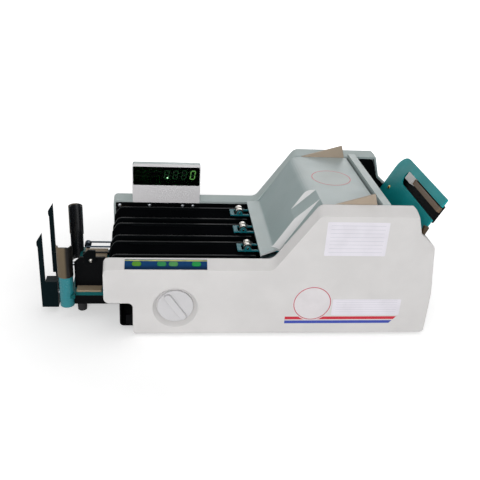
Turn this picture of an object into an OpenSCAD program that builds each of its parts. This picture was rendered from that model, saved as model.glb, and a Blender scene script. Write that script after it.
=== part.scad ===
// Note counting machine: a hopper at the right feeds notes under a hood onto a belt deck,
// which carries them left into an open stacker. X runs along the note path, Y to the rear, Z up.

/* [Casing] */
// Depth of the casing, front face to rear face
case_depth = 210; // [200:1:230]
// Right end of the casing, counted from its left end
case_len = 425; // [390:1:470]
// Height of the rim along the low part of the casing
low_top = 104.5; // [103:0.5:107]
// Height of the rim along the hump
hump_top = 181; // [180:0.5:184]
// How far the low part overhangs the foot of the casing
overhang = 36; // [30:1:40]
// Height of the underside of the overhang
overhang_z = 46; // [42:1:50]
// Height of the chamfer along the rim
rim_drop = 10.5; // [9:0.5:12]
// Width of the rim, which is also how deep each side cover is
rim_w = 13.3; // [13:0.1:15]
// Wall of the side covers
wall = 3; // [2.4:0.1:3.2]
// Length of the hump, from the top of the slope to the right end
hump_len = 160; // [158:0.5:162]
// Run of the casing's slope along X
slope_run = 53; // [50:0.5:56]
// How far the rear rim's inner edge lies below the front rim's
rear_drop = 3; // [2:0.1:3.2]
// How far the rear rim rises towards the rear face
rear_rise = 5.3; // [4:0.1:6]
// Thickness of the inner side frames
frame_t = 3; // [2.5:0.1:3.5]

/* [Deck] */
// Height of the belts' upper face below the low rim
belt_sink = 6.5; // [5.5:0.5:8]
// Distance of the outer belts' middle from the side frames
lane_in = 36.7; // [34:0.1:38]
// Width of a belt rail
rail_w = 40; // [36:1:44]
// Width of a belt
belt_w = 24; // [18:1:26]
// Thickness of a belt
belt_t = 1.5; // [1:0.1:1.8]
// Radius of the rollers that the belts run on
roller_r = 10; // [9:0.5:11]
// Radius of the belt shafts
shaft_r = 4; // [3:0.25:5]
// Radius of a chrome pinch roller
pinch_r = 5.5; // [4.5:0.25:6]

/* [Hood] */
// How far the hood's lip starts before the foot of the casing's slope
lip_reach = 14.4; // [13:0.2:16]
// Length of the hood's flat lip
lip_len = 18.4; // [16:0.2:19]
// Thickness of the hood
skin_t = 2; // [1.5:0.1:2.2]
// Depth of the hood's flat top below the hump's rim
top_sink = 4; // [3:0.5:5]
// Depth of the finger groove along the front of the hood's slope
groove_depth = 7.5; // [5:0.5:8]
// Slope of the fins at the ends of the hood's top
fin_angle = 17.2; // [14:0.2:18]

/* [Hopper] */
// Slope of the hopper plate's steep part
hopper_angle = 62; // [60:0.5:64]
// Height of the hopper plate's upper edge
hopper_top = 187; // [180:1:194]
// Thickness of the hopper plate
hopper_t = 2; // [1.5:0.1:2.5]
// Width of the slot in the hopper plate
slot_w = 20; // [18:0.5:22]
// Radius of the rubber feed rollers
feed_r = 14; // [13:0.25:14.5]

/* [Display and keys] */
// Width of the display housing
disp_w = 99; // [90:1:110]
// Height of the display housing above the rim
disp_h = 54.5; // [50:0.5:60]
// Depth of the display housing
disp_d = 15.5; // [15:0.1:17]
// Height of the display window
window_h = 28.8; // [25:0.2:31]
// Length of the keypad strip
keypad_len = 102; // [95:1:110]
// Length of a key
key_len = 11.5; // [9:0.5:13]
// Width of a key
key_w = 6; // [5:0.25:7]
// How far a key stands above the strip
key_proud = 1.3; // [1:0.1:2]
// Radius of the hand knob
knob_r = 23; // [20:0.5:25]

/* [Stacker] */
// Height of the back stop's fingers above the casing's base line
finger_top = 114.5; // [108:0.5:122]
// Width of a finger
finger_w = 7; // [6:0.5:10]
// Distance of a back stop finger from the machine's middle plane
finger_y = 47; // [44:1:50]
// Radius of the half-round stack guides
gutter_r = 9.2; // [8:0.1:10]
// Height of the top of the stack guides
gutter_top = 104; // [98:1:110]
// Distance of a stack guide from the machine's middle plane
gutter_y = 60; // [58:1:64]
// Height of the stacker's tray
tray_z = 30; // [28:0.5:33]
// How far the feet stand below the casing
foot_drop = 3; // [2:0.5:5]

/* [Hidden] */
$fn = 48;

// Clearances
fit_gap = 0.3;
run_gap = 0.05;
side_gap = 0.2;
eps = 0.01;

// Places along the casing
slope_top = case_len - hump_len;
slope_foot = slope_top - slope_run;
lip_x = slope_foot - lip_reach;

// Planes across the machine
y_front = rim_w;
y_rear = case_depth - rim_w;
y_mid = case_depth / 2;
lane_pitch = y_mid - y_front - lane_in;
lanes = [for (k = [-1 : 1]) y_mid + k * lane_pitch];

// Deck levels and roller places
belt_top = low_top - belt_sink;
roller_z = belt_top - belt_t - fit_gap - roller_r;
deck_z = roller_z - roller_r - fit_gap - belt_t - 2.4;
deck_t = 2;
nose_x = 18;
drive_x = lip_x - 11.6;
rail_x0 = 2;
rail_x1 = lip_x - 3.6;
rail_leg = 3;
rail_top = belt_top + 1;
roller_w = belt_w + 2;
arm_pin = [rail_x0 + 3.5, deck_z + 3];
arm_pin_r = 1.5;

// Hood, which is one bent sheet: lip, slope and flat top
hood_z = hump_top - top_sink;
hood_foot = [lip_x + lip_len, low_top - 0.5];
hood_crest = [slope_top - 3.4, hood_z];
hood_dir = unit(hood_crest - hood_foot);
hood_x1 = slope_top + 76;
hood_y0 = y_front + 0.4;
hood_y1 = y_rear - 0.4;
foot_bend = 6;
crest_bend = 20;
groove_y1 = y_front + 33.7;
scoop_y1 = y_front + 62.2;
scoop_from = 0.56;
scoop_end = [hood_crest.x + groove_depth / hood_dir.y, hood_z];
lip_corner = y_front + 10;
lip_cut_slope = tan(34.4);
lip_cut_x1 = hood_foot.x + 15;

// Frame under the hood's top, with a fin at each end and the hinge at its right edge
fin_t = 2.5;
fin_x0 = hood_crest.x + 13;
fin_x1 = hood_x1 - 3;
fin_peak = [hood_x1 - 8, hood_z + (hood_x1 - 8 - fin_x0) * tan(fin_angle)];
frame_plate_t = 2.3;
frame_z1 = hood_z - skin_t;
frame_z0 = frame_z1 - frame_plate_t;
frame_x1 = hood_x1 - 10;
hinge_r = 2;
hinge_at = [hood_x1 - 3.5, frame_z1 - 4];
knuckle_r = 3.6;
knuckle_w = 12;
bar_x0 = hood_x1 + 3;
bar_w = 10.5;
bar_h = 15;
bar_top = hump_top + 1;
post_ys = [y_front + 27, y_rear - 33];
post_t = 6;

// Pinch rollers
pinch_x = drive_x - 3;
pinch_z = belt_top + fit_gap + pinch_r;
pinch_w = 14;
pinch_axle_r = 1.5;
pinch_arm_z = belt_top + 1.6;
pinch_arm_h = 2.1;
pinch_bar_x = hood_foot.x + 14;
pinch_bar_w = 8;

// Hopper
feed_x = bar_x0 + 20;
feed_z = belt_top - 2;
feed_w = 20;
wall_foot = 6;
wall_bend = 5;
hopper_up = [cos(hopper_angle), sin(hopper_angle)];
hopper_tip = [case_len + 4, hopper_top];
bed_x0 = feed_x + feed_r + 2;
bed_z0 = feed_z + feed_r + 1;
bed_slope = 0.14;
knee_z = (bed_z0 + bed_slope * (hopper_tip.x - hopper_top / tan(hopper_angle) - bed_x0))
    / (1 - bed_slope / tan(hopper_angle));
knee_x = hopper_tip.x - (hopper_top - knee_z) / tan(hopper_angle);
hopper_y0 = y_front + 6.7;
hopper_y1 = y_rear - 6.7;
slot_from_top = 12;
slot_end = hopper_y0 + 130;
slot_rail_w = 7;
guide_at = hopper_y0 + 98;
pocket = 3.8;
guide_len = 22;
rod_r = 4;

// Drive train, outside the rear frame
main_at = [89.7, 39];
motor_at = [slope_top + 35, 36];
main_pulley_r = 20;
drive_pulley_r = 5;
feed_pulley_r = 12;
motor_pulley_r = 9;
pulley_y = y_rear + frame_t + 0.5;
pulley_w = 3;
strap_t = 1.2;
bush_r = 6;
bush_len = frame_t + 2;

// Front cover features
chamfer_len = norm([rim_w, rim_drop]);
chamfer_tilt = atan2(rim_drop, rim_w);
rear_tilt = atan2(rear_rise, rim_w);
keypad_x0 = 26.5;
keypad_y0 = 1.2;
keypad_y1 = chamfer_len - 2.4;
keypad_t = 1.8;
key_in = [14.7, 13.4];
key_pair = keypad_len / 2 + 1.75;
key_pitch = 14.5;
key_xs = [key_in[0], key_pair - key_pitch / 2, key_pair + key_pitch / 2, keypad_len - key_in[1]];
key_depth = 3.4;
dish_r = knob_r + 6;
dish_depth = 7.3;
knob_t = 3;
grip_angle = -55;
grip_w = 9;
grip_h = 3.6;

// Display
disp_x0 = 28;
disp_y1 = case_depth - 0.5;
disp_y0 = disp_y1 - disp_d;
disp_top = low_top + disp_h;
disp_wall = 2;
disp_roof = 3;
disp_round = 3;
window_t = 2;
window_round = 2;
window_z1 = disp_top - disp_roof;
window_z0 = window_z1 - window_h;
digit_pitch = 12.6;
digit_h = 19;
digit_d = 8;
board_t = 1.6;

// Base
floor_z = 3.5;
floor_t = 2;
tray_x0 = 18.5;
tray_x1 = case_len - 4;
foot_r = 7;
foot_in = 11;

// Stacker
stack_x = 46;
finger_x1 = -80.5;
finger_x0 = finger_x1 - finger_w;
finger_t = 4;
block_len = 15.5;
block_h = 39;
stop_z = 5;
slide_r = 3;
slide_z = 23;
gutter_t = 1.6;
gutter_x = -51.5;
gutter_z0 = 16.5;
sleeve_t = 0.8;
sleeve_z0 = 61;
tray_t = 5;
pad_t = 2.5;
base_z = 17;
base_y = gutter_y;
base_t = 3;
cheek_y = 47;
cheek_t = 3;
cheek_top = 80;
cheek_low = tray_z + tray_t + 4;
cheek_x0 = -42;
cheek_x1 = tray_x0 - 14;
lever_at = [-20, 77];
lever_pin_r = 1.5;

// The part's origin is under the middle of its box, on the plane that it stands on
x_lo = finger_x0;
x_hi = hopper_tip.x + hopper_t * sin(hopper_angle);
to_origin = [-(x_lo + x_hi) / 2, -y_mid, foot_drop];

// Colours
case_grey = [0.83, 0.82, 0.82];
shade_grey = [0.62, 0.66, 0.65];
black = [0.07, 0.07, 0.08];
steel = [0.75, 0.76, 0.78];
teal = [0.02, 0.45, 0.44];
bronze = [0.45, 0.36, 0.28];
beige = [0.78, 0.7, 0.58];
rubber = [0.12, 0.12, 0.13];
board_green = [0.1, 0.35, 0.2];

// Vector helpers
function unit(v) = v / norm(v);
function left_of(v) = [-v.y, v.x];
function xz(c) = [c.x, c.y];
function xz0(c) = [c.x, c.y, 0];
function turn(a, b, c) = (b.x - a.x) * (c.y - b.y) - (b.y - a.y) * (c.x - b.x);

// Points of the arc that rounds the corner b between a and c
function arc(a, b, c, r, n = 6) =
    let (u = unit(a - b),
        w = unit(c - b),
        half = acos(u * w) / 2,
        centre = b + unit(u + w) * r / sin(half),
        p = b + u * r / tan(half) - centre,
        q = b + w * r / tan(half) - centre,
        sweep = (turn(a, b, c) > 0 ? 1 : -1) * acos(min(1, max(-1, unit(p) * unit(q)))),
        from = atan2(p.y, p.x))
    [for (i = [0 : n]) centre + r * [cos(from + sweep * i / n), sin(from + sweep * i / n)]];

// Closed outline of corners [x, z, radius], each rounded
function rounded(cs) =
    let (m = len(cs))
    [for (i = [0 : m - 1])
        each arc(xz(cs[(i + m - 1) % m]), xz(cs[i]), xz(cs[(i + 1) % m]), cs[i].z)];

// Corner b moved by d to the left of both its edges, with its radius kept concentric
function moved(a, b, c, d) =
    let (n1 = left_of(unit(xz(b) - xz(a))),
        n2 = left_of(unit(xz(c) - xz(b))),
        p = xz(b) + d * (n1 + n2) / (1 + n1 * n2))
    [p.x, p.y, max(0.4, b.z + (turn(a, b, c) > 0 ? -d : d))];

// Closed outline drawn in by d
function inset(cs, d) =
    let (m = len(cs))
    [for (i = [0 : m - 1]) moved(cs[(i + m - 1) % m], cs[i], cs[(i + 1) % m], d)];

// Open path of corners [x, z, radius], rounded at each inner corner
function rounded_path(cs) =
    let (m = len(cs))
    [xz(cs[0]),
        for (i = [1 : 1 : m - 2]) each arc(xz(cs[i - 1]), xz(cs[i]), xz(cs[i + 1]), cs[i].z),
        xz(cs[m - 1])];

// Open path moved by d to its left
function moved_path(cs, d) =
    let (m = len(cs),
        first = xz(cs[0]) + d * left_of(unit(xz(cs[1]) - xz(cs[0]))),
        last = xz(cs[m - 1]) + d * left_of(unit(xz(cs[m - 1]) - xz(cs[m - 2]))))
    [[first.x, first.y, 0],
        for (i = [1 : 1 : m - 2]) moved(cs[i - 1], cs[i], cs[i + 1], d),
        [last.x, last.y, 0]];

// Section of a sheet of thickness t that lies to the left of an open path
function sheet(cs, t) =
    let (back = rounded_path(moved_path(cs, t)))
    concat(rounded_path(cs), [for (i = [len(back) - 1 : -1 : 0]) back[i]]);

// Moves a piece from the casing's frame into the part's frame
module placed() {
    translate(to_origin)
        children();
}

// Carries an XZ outline along Y
module slab(y0, y1) {
    translate([0, y1, 0])
        rotate([90, 0, 0])
            linear_extrude(y1 - y0)
                children();
}

// Carries a YZ outline along X
module beam(x0, x1) {
    translate([x0, 0, 0])
        rotate([90, 0, 90])
            linear_extrude(x1 - x0)
                children();
}

// Box from corner to corner
module block(a, b) {
    translate(a)
        cube(b - a);
}

// Round bar along Y
module rod(at, y0, y1, r) {
    translate([at.x, y0, at.y])
        rotate([-90, 0, 0])
            cylinder(r = r, h = y1 - y0);
}

// Round bar along X
module rod_x(x0, x1, y, z, r) {
    translate([x0, y, z])
        rotate([0, 90, 0])
            cylinder(r = r, h = x1 - x0);
}

// Slot-shaped prism along Z with round ends
module stadium(length, width, z0, z1) {
    reach = (length - width) / 2;
    block([-reach, -width / 2, z0], [reach, width / 2, z1]);
    for (side = [-1, 1])
        translate([side * reach, 0, z0])
            cylinder(d = width, h = z1 - z0);
}

// Casing outline with its upper edges lowered by drop
function case_corners(drop) = [
    [overhang, 0, 4],
    [case_len, 0, 5],
    [case_len, 60, 40],
    [case_len - 8.5, 130, 8],
    [case_len - 29, 147.5, 5],
    [case_len - 39, hump_top - drop, 12],
    [slope_top, hump_top - drop, 12],
    [slope_foot, low_top - drop, 14],
    [0, low_top - drop, 6],
    [0, overhang_z, 7],
    [overhang, overhang_z, 6]];

// The casing's outline below the rim, carried up past it by over
function body_corners(over) = [
    for (i = [0 : 4]) case_corners(0)[i],
    case_corners(-over)[5],
    [0, hump_top + over, 1],
    case_corners(0)[9],
    case_corners(0)[10]];

// The rim's own line over the low part, the slope and the hump, far larger than the casing elsewhere
beyond = 30;
function rim_corners(drop) = [
    [case_len + beyond, -beyond, 1],
    [case_len + beyond, hump_top - drop, 1],
    [slope_top, hump_top - drop, 12],
    [slope_foot, low_top - drop, 14],
    [-beyond, low_top - drop, 1],
    [-beyond, -beyond, 1]];

// Corners in the rim's plane at y, seen along a chamfer that rises by tilt towards the rear
function along_rim(cs, y, tilt) = [for (c = cs) [c.x, c.y * cos(tilt) - y * sin(tilt), c.z]];

// Carries an outline, as seen along the chamfer, in the chamfer's direction
module chamfered(outline, tilt) {
    reach = 2 * case_depth;
    rotate([90 + tilt, 0, 0])
        translate([0, 0, -reach])
            linear_extrude(2 * reach)
                polygon(outline);
}

// Tray-shaped side cover with a chamfered rim: its outer face is at face_y, and it is open at rim_y,
// where its rim lies lower by drop
module side_cover(face_y, rim_y, tilt, drop) {
    inward = sign(rim_y - face_y);
    inside = [face_y + inward * wall, rim_y + inward];
    over = 1.5 + max(0, (face_y - rim_y) * tan(tilt) - drop);
    low_z = low_top - drop;
    rim = along_rim(rim_corners(drop), rim_y, tilt);
    end = along_rim([[50, low_z, 0], [0, low_z, 0], [0, overhang_z, 0]], rim_y, tilt);
    end_round = arc(xz(end[0]), xz(end[1]), xz(end[2]), 6);
    end_out = [end_round[6] - [2, 0], end[1] + [-2, 2], end_round[0] + [0, 2]];
    difference() {
        intersection() {
            slab(min(face_y, rim_y), max(face_y, rim_y))
                polygon(rounded(body_corners(over)));
            chamfered(rounded(rim), tilt);
        }
        intersection() {
            slab(min(inside), max(inside))
                polygon(rounded(inset(body_corners(over), wall)));
            chamfered(rounded(inset(rim, wall)), tilt);
        }
        chamfered(concat(end_round, end_out), tilt);
    }
}

// Frame of the front chamfer: X along the casing, Y up the chamfer, Z out of it
module on_chamfer() {
    translate([keypad_x0, 0, low_top - rim_drop])
        rotate([chamfer_tilt, 0, 0])
            children();
}

module keypad_bar(z0, z1) {
    block([0, keypad_y0, z0], [keypad_len, keypad_y1, z1]);
}

module front_cover() placed() color(case_grey) {
    difference() {
        union() {
            side_cover(0, y_front, chamfer_tilt, 0);
            rod(main_at, 0.5, dish_depth + 2.5, dish_r + 2);
        }
        translate([main_at.x, -eps, main_at.y])
            rotate([-90, 0, 0])
                cylinder(r1 = dish_r, r2 = knob_r + 1.2, h = dish_depth + eps);
        rod(main_at, 0, rim_w, shaft_r + 0.6);
        on_chamfer()
            keypad_bar(-5, 3);
    }
}

module rear_cover() placed() color(case_grey) {
    side_cover(case_depth, y_rear, rear_tilt, rear_drop);
}

// Outline of the inner frames: the cavity of a side cover where the frame's outer face lies
plate_share = (rim_w - frame_t - wall) / (rim_w - wall);
function plate_corners() = inset(case_corners(rim_drop * (1 - plate_share)), wall + 0.6);

// Round holes that both frames share
module frame_bores(y0, y1) {
    for (at = [[nose_x, roller_z], [drive_x, roller_z], main_at, [feed_x, feed_z]])
        rod(at, y0, y1, bush_r + run_gap);
    rod(retard_at, y0, y1, shaft_r + run_gap);
    for (at = hopper_rods_at)
        rod(at, y0, y1, rod_r + run_gap);
}

module front_frame() placed() color(black) {
    difference() {
        slab(y_front - frame_t, y_front)
            polygon(rounded(plate_corners()));
        frame_bores(0, y_front + 1);
        block([keypad_x0 - 3, 0, low_top - rim_drop - 2], [keypad_x0 + keypad_len + 3, rim_w + 1, low_top]);
    }
}

wall_screw_xs = [9, 52.7, 101.9, 117.3];
wall_screw_z = belt_top - 4.5;

module rear_frame() placed() color(black) {
    difference() {
        slab(y_rear, y_rear + frame_t)
            polygon(rounded(plate_corners()));
        frame_bores(y_rear - 1, y_rear + frame_t + 1);
        rod(motor_at, y_rear - 1, y_rear + frame_t + 1, 6);
    }
}

module wall_screws() placed() color(steel) {
    for (x = wall_screw_xs)
        translate([x, y_rear, wall_screw_z])
            rotate([90, 0, 0])
                cylinder(r1 = 2.6, r2 = 1.6, h = 1.2);
}

module end_cover() placed() color(case_grey) {
    path = [[case_len, floor_z + floor_t, 0], [case_len, 60, 30],
        [case_len - 8.5, 130, 8], [case_len - 16, 136.4, 0]];
    difference() {
        slab(y_front, y_rear)
            polygon(sheet(path, 2.5));
        block([case_len - 5, inlet_y - 14, inlet_z - 10.2], [case_len + 1, inlet_y + 14, inlet_z + 10.2]);
        block([case_len - 5, switch_y - 10, inlet_z - 7], [case_len + 1, switch_y + 10, inlet_z + 7]);
    }
}

module base_tray() placed() color(black) {
    y0 = y_front;
    y1 = y_rear;
    section = [[tray_x0, overhang_z - 2, 0], [tray_x0, floor_z, 5], [tray_x1, floor_z, 3],
        [tray_x1, floor_z + 16, 0]];
    slab(y0, y1)
        polygon(sheet(section, floor_t));
    for (y = [y0, y1 - floor_t])
        block([tray_x0 + 8, y, floor_z + floor_t - eps], [tray_x1 - 6, y + floor_t, floor_z + 16]);
}

module feet() placed() color(rubber) {
    for (x = [overhang + 14, case_len - 22], y = [y_front + 20, y_rear - 20])
        translate([x, y, -foot_drop])
            cylinder(r1 = foot_r - 1, r2 = foot_r, h = floor_z + foot_drop);
    for (side = [-1, 1])
        translate([foot_in - stack_x, y_mid + side * (cheek_y - foot_r), -foot_drop])
            cylinder(r1 = foot_r - 1, r2 = foot_r, h = base_z + foot_drop);
}

// Bar across the machine at the hopper, with two posts that hold the hood's hinge
module cross_bar() placed() color(case_grey) {
    z0 = bar_top - bar_h;
    difference() {
        union() {
            block([bar_x0, y_front, z0], [bar_x0 + bar_w, y_rear, bar_top]);
            for (y = post_ys) {
                block([hinge_at.x, y, z0], [bar_x0 + eps, y + post_t, hinge_at.y]);
                rod(hinge_at, y, y + post_t, knuckle_r);
            }
        }
        rod(hinge_at, 0, case_depth, hinge_r + run_gap);
    }
}

// Frame of the hood's slope: X up the slope from its foot, Z out of it
module on_slope() {
    translate([hood_foot.x, 0, hood_foot.y])
        rotate([0, -atan2(hood_dir.y, hood_dir.x), 0])
            children();
}

// Everything in front of a plane that leaves the slope at y and falls to the front, grown by d
module before_bevel(y, d) {
    far = 2 * case_len;
    on_slope()
        translate([0, y, 0])
            rotate([45, 0, 0])
                block([-far, -far, -d], [far, far, far]);
}

// Everything outside the line from a to b and past both ends, grown by d
function outside_line(a, b, d) =
    let (u = unit(b - a),
        n = left_of(u),
        past = beyond * u,
        out = 2 * beyond * n)
    [a - past - d * n, b + past - d * n, b + past + out, a - past + out];

// Solid under the hood's outer face, drawn in by d
module hood_solid(d) {
    more = d > 0 ? 1 : 0;
    base = hood_foot.y - 20 - more;
    ends = [lip_x - more, hood_x1 + more];
    path = [[ends[1], hood_z, 0], [hood_crest.x, hood_z, crest_bend],
        [hood_foot.x, hood_foot.y, foot_bend], [ends[0], hood_foot.y, 0]];
    bend = hood_foot + scoop_from * (hood_crest - hood_foot);
    groove = scoop_end - 2 * (hood_crest - hood_foot);
    difference() {
        slab(hood_y0 - more, hood_y1 + more)
            polygon(concat(rounded_path(moved_path(path, d)), [[ends[0], base], [ends[1], base]]));
        intersection() {
            slab(0, case_depth)
                polygon(outside_line(bend, scoop_end, d));
            before_bevel(scoop_y1, d);
        }
        intersection() {
            slab(0, case_depth)
                polygon(outside_line(groove, scoop_end, d));
            before_bevel(groove_y1, d);
            block([0, -1, hood_foot.y - d], [case_len, case_depth, 2 * hump_top]);
        }
    }
}

// Bent sheet with a finger groove along the front of its slope, which widens to a scoop at the top
module hood() placed() color(shade_grey) {
    cut_y = groove_y1 - groove_depth - 0.5;
    cut_x = lip_x + (cut_y - lip_corner) / lip_cut_slope;
    corner = [[lip_x - 2, 0], [lip_cut_x1, 0], [lip_cut_x1, cut_y], [cut_x, cut_y],
        [lip_x - 2, lip_corner - 2 * lip_cut_slope]];
    difference() {
        hood_solid(0);
        hood_solid(skin_t);
        linear_extrude(hump_top)
            polygon(corner);
        for (y = [hood_y0 - 1, hood_y1 - fin_t - side_gap])
            block([fin_x0 - fit_gap, y, frame_z1 - 1], [hood_x1 + 1, y + fin_t + side_gap + 1, hump_top]);
    }
}

// Beige frame that the hood's top lies on
module hood_frame() placed() color(beige) {
    foot = frame_z0 - 0.5;
    fin = [[fin_x0, foot], [fin_x1, foot], [fin_x1, hood_z], fin_peak, [fin_x0, hood_z]];
    difference() {
        union() {
            block([fin_x0 + 2, hood_y0 + fin_t - eps, frame_z0],
                [frame_x1, hood_y1 - fin_t + eps, frame_z1]);
            for (y = [hood_y0, hood_y1 - fin_t])
                slab(y, y + fin_t)
                    polygon(fin);
            for (y = [post_ys[0] + post_t + 0.5, post_ys[1] - 0.5 - knuckle_w]) {
                rod(hinge_at, y, y + knuckle_w, knuckle_r);
                block([frame_x1 - 2, y, hinge_at.y], [hinge_at.x, y + knuckle_w, frame_z1]);
            }
        }
        rod(hinge_at, 0, case_depth, hinge_r + run_gap);
    }
}

module hinge_pin() placed() color(steel) {
    rod(hinge_at, post_ys[0] - 1, post_ys[1] + post_t + 1, hinge_r);
}

module deck_plate() placed() color(black) {
    y0 = y_front;
    y1 = y_rear;
    block([10, y0, deck_z - deck_t], [rail_x1, y1, deck_z]);
    for (y = [y0, y1 - deck_t])
        block([10, y, deck_z - 12], [rail_x1, y + deck_t, deck_z - deck_t + eps]);
}

// Inverted channel that a belt slides over, open at both ends for the rollers
module belt_rail(y) {
    outline = [[rail_x0, deck_z, 2], [rail_x1, deck_z, 1], [rail_x1, rail_top, 2],
        [nose_x - 7, rail_top, 8], [rail_x0 + 1, roller_z, 9]];
    shelf_z = belt_top - belt_t - fit_gap;
    inner = rail_w / 2 - rail_leg;
    difference() {
        slab(y - rail_w / 2, y + rail_w / 2)
            polygon(rounded(outline));
        block([-10, y - inner, deck_z - 1], [case_len, y + inner, shelf_z - 1.7]);
        block([-10, y - inner, shelf_z], [case_len, y + inner, rail_top + 1]);
        block([-10, y - inner, deck_z - 1], [nose_x + roller_r + 2, y + inner, rail_top + 1]);
        block([drive_x - roller_r - 2, y - inner, deck_z - 1], [case_len, y + inner, rail_top + 1]);
        for (x = [nose_x, drive_x])
            rod([x, roller_z], 0, case_depth, shaft_r + 0.6);
        if (y == y_mid)
            rod(arm_pin, 0, case_depth, arm_pin_r + run_gap);
    }
}

module front_rail() placed() color(black) belt_rail(lanes[0]);

module middle_rail() placed() color(black) belt_rail(lanes[1]);

module rear_rail() placed() color(black) belt_rail(lanes[2]);

// Solid stadium in XZ round both belt rollers
module belt_loop(y0, y1, r) {
    for (x = [nose_x, drive_x])
        rod([x, roller_z], y0, y1, r);
    block([nose_x, y0, roller_z - r], [drive_x, y1, roller_z + r]);
}

module deck_belts() placed() color(rubber) {
    for (y = lanes)
        difference() {
            belt_loop(y - belt_w / 2, y + belt_w / 2, roller_r + fit_gap + belt_t);
            belt_loop(y - belt_w / 2 - 1, y + belt_w / 2 + 1, roller_r + fit_gap);
        }
}

module belt_shaft(x, y1) {
    rod([x, roller_z], y_front - frame_t - 0.6, y1, shaft_r);
    for (y = lanes)
        rod([x, roller_z], y - roller_w / 2, y + roller_w / 2, roller_r);
}

module nose_shaft() placed() color(steel) belt_shaft(nose_x, y_rear + frame_t + 0.4);

module belt_drive_shaft() placed() color(steel) {
    belt_shaft(drive_x, pulley_y + pulley_w);
    rod([drive_x, roller_z], pulley_y, pulley_y + pulley_w, drive_pulley_r);
}

module pinch_bar() placed() color(steel) {
    block([pinch_bar_x, y_front, pinch_arm_z],
        [pinch_bar_x + pinch_bar_w, y_rear, pinch_arm_z + 7]);
}

module pinch_brackets() placed() color(teal) {
    for (y = lanes)
        difference() {
            union() {
                for (side = [-1, 1]) {
                    inner = pinch_w / 2 + 0.6;
                    a = side > 0 ? y + inner : y - inner - 2;
                    block([pinch_x - 13, a, pinch_arm_z], [pinch_bar_x, a + 2, pinch_arm_z + pinch_arm_h]);
                    block([pinch_x - 4, a, pinch_arm_z], [pinch_x + 4, a + 2, pinch_z + 1]);
                    rod([pinch_x, pinch_z], a, a + 2, 3.4);
                }
                block([pinch_x - 13, y - pinch_w / 2 - 2, pinch_arm_z],
                    [pinch_x - 7.5, y + pinch_w / 2 + 2, pinch_arm_z + pinch_arm_h]);
            }
            rod([pinch_x, pinch_z], 0, case_depth, pinch_axle_r + run_gap);
        }
}

// Grooved chrome rollers, each with its own stub axle
module pinch_rollers() placed() color(steel) {
    at = [pinch_x, pinch_z];
    for (y = lanes) {
        rod(at, y - pinch_w / 2 - 2.6, y + pinch_w / 2 + 2.6, pinch_axle_r);
        rod(at, y - pinch_w / 2, y + pinch_w / 2, pinch_r - 1.2);
        for (side = [-1, 1])
            rod(at, y + side * 4.5 - 2.5, y + side * 4.5 + 2.5, pinch_r);
    }
}

module note_guide() placed() color(steel) {
    slab(y_front, y_rear)
        polygon(sheet([[feed_x - feed_r - 2, feed_z + feed_r - 1, 0], [pinch_bar_x, belt_top - 1, 20],
            [lip_x + 1.5, belt_top - 1, 0]], 1.5));
}

module feed_shaft() placed() color(rubber) {
    at = [feed_x, feed_z];
    rod(at, y_front - frame_t - 0.6, pulley_y + pulley_w, shaft_r);
    rod(at, pulley_y, pulley_y + pulley_w, feed_pulley_r);
    for (y = lanes)
        rod(at, y - feed_w / 2, y + feed_w / 2, feed_r);
}

retard_r = 12;
retard_w = 16;
retard_at = [feed_x - 4, feed_z + feed_r + 1 + retard_r];

module retard_shaft() placed() color(rubber) {
    rod(retard_at, y_front - frame_t, y_rear + frame_t, shaft_r);
    for (y = lanes)
        rod(retard_at, y - retard_w / 2, y + retard_w / 2, retard_r);
}

module hopper_wall() placed() color(black) {
    x = bar_x0 + bar_w / 2;
    z = bar_top - bar_h;
    path = [[x, z, 0], [x, z - wall_foot, wall_bend], xz0(retard_at + [retard_r + 2, retard_r + 3])];
    slab(y_front, y_rear)
        polygon(sheet(path, 1.5));
}

// Frame of the steep hopper plate: X up the slope from the upper edge, Z out of its note side
module on_hopper() {
    translate([hopper_tip.x, 0, hopper_tip.y])
        rotate([0, -hopper_angle, 0])
            children();
}

// Cuts the corner between a plate's upper edge at X 0 and its side at Y 0 to a radius
module round_off(r) {
    out = 0.05;
    corner = arc([-2 * r, -out], [out, -out], [out, 2 * r], r);
    translate([0, 0, -20])
        linear_extrude(40)
            polygon(concat(corner, [corner[6] + [1, 0], [1, -1], corner[0] - [0, 1]]));
}

module hopper_plate() placed() color(teal) {
    path = [[hopper_tip.x, hopper_tip.y, 0], [knee_x, knee_z, 14], [bed_x0, bed_z0, 0]];
    difference() {
        slab(hopper_y0, hopper_y1)
            polygon(sheet(path, hopper_t));
        on_hopper() {
            translate([0, hopper_y0, 0])
                round_off(2);
            translate([0, hopper_y1, 0])
                mirror([0, 1, 0])
                    round_off(24);
            block([-slot_from_top - slot_w, hopper_y0 - 1, -hopper_t - 1],
                [-slot_from_top, slot_end - slot_w / 2, 1]);
            translate([-slot_from_top - slot_w / 2, slot_end - slot_w / 2, -hopper_t - 1])
                cylinder(d = slot_w, h = hopper_t + 2);
        }
    }
}

// Point behind the hopper plate's steep part, at height z, out by d from its note side
function behind_hopper(z, d) =
    [hopper_tip.x - (hopper_top - z) / tan(hopper_angle), z] + d * [hopper_up.y, -hopper_up.x];

hopper_rods_at = [behind_hopper(knee_z + 15, hopper_t + rod_r),
    [bed_x0 + 5, bed_z0 + 5 * bed_slope - (hopper_t + rod_r) * norm([1, bed_slope])]];

// Tie rods under the hopper plate and the rods that the back stop slides on
module fixed_rods() placed() color(steel) {
    for (at = hopper_rods_at)
        rod(at, y_front - frame_t, y_rear + frame_t, rod_r);
    for (side = [-1, 1])
        rod_x(finger_x1 + 1, -stack_x - 1, y_mid + side * (finger_y - 8), slide_z, slide_r);
}

// Bracket round the front end of the upper tie rod, seen along Y from the rod
clip_outline = [[-6, -6], [3.5, -6], [3, 14], [8, 25], [2, 27]];

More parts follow.
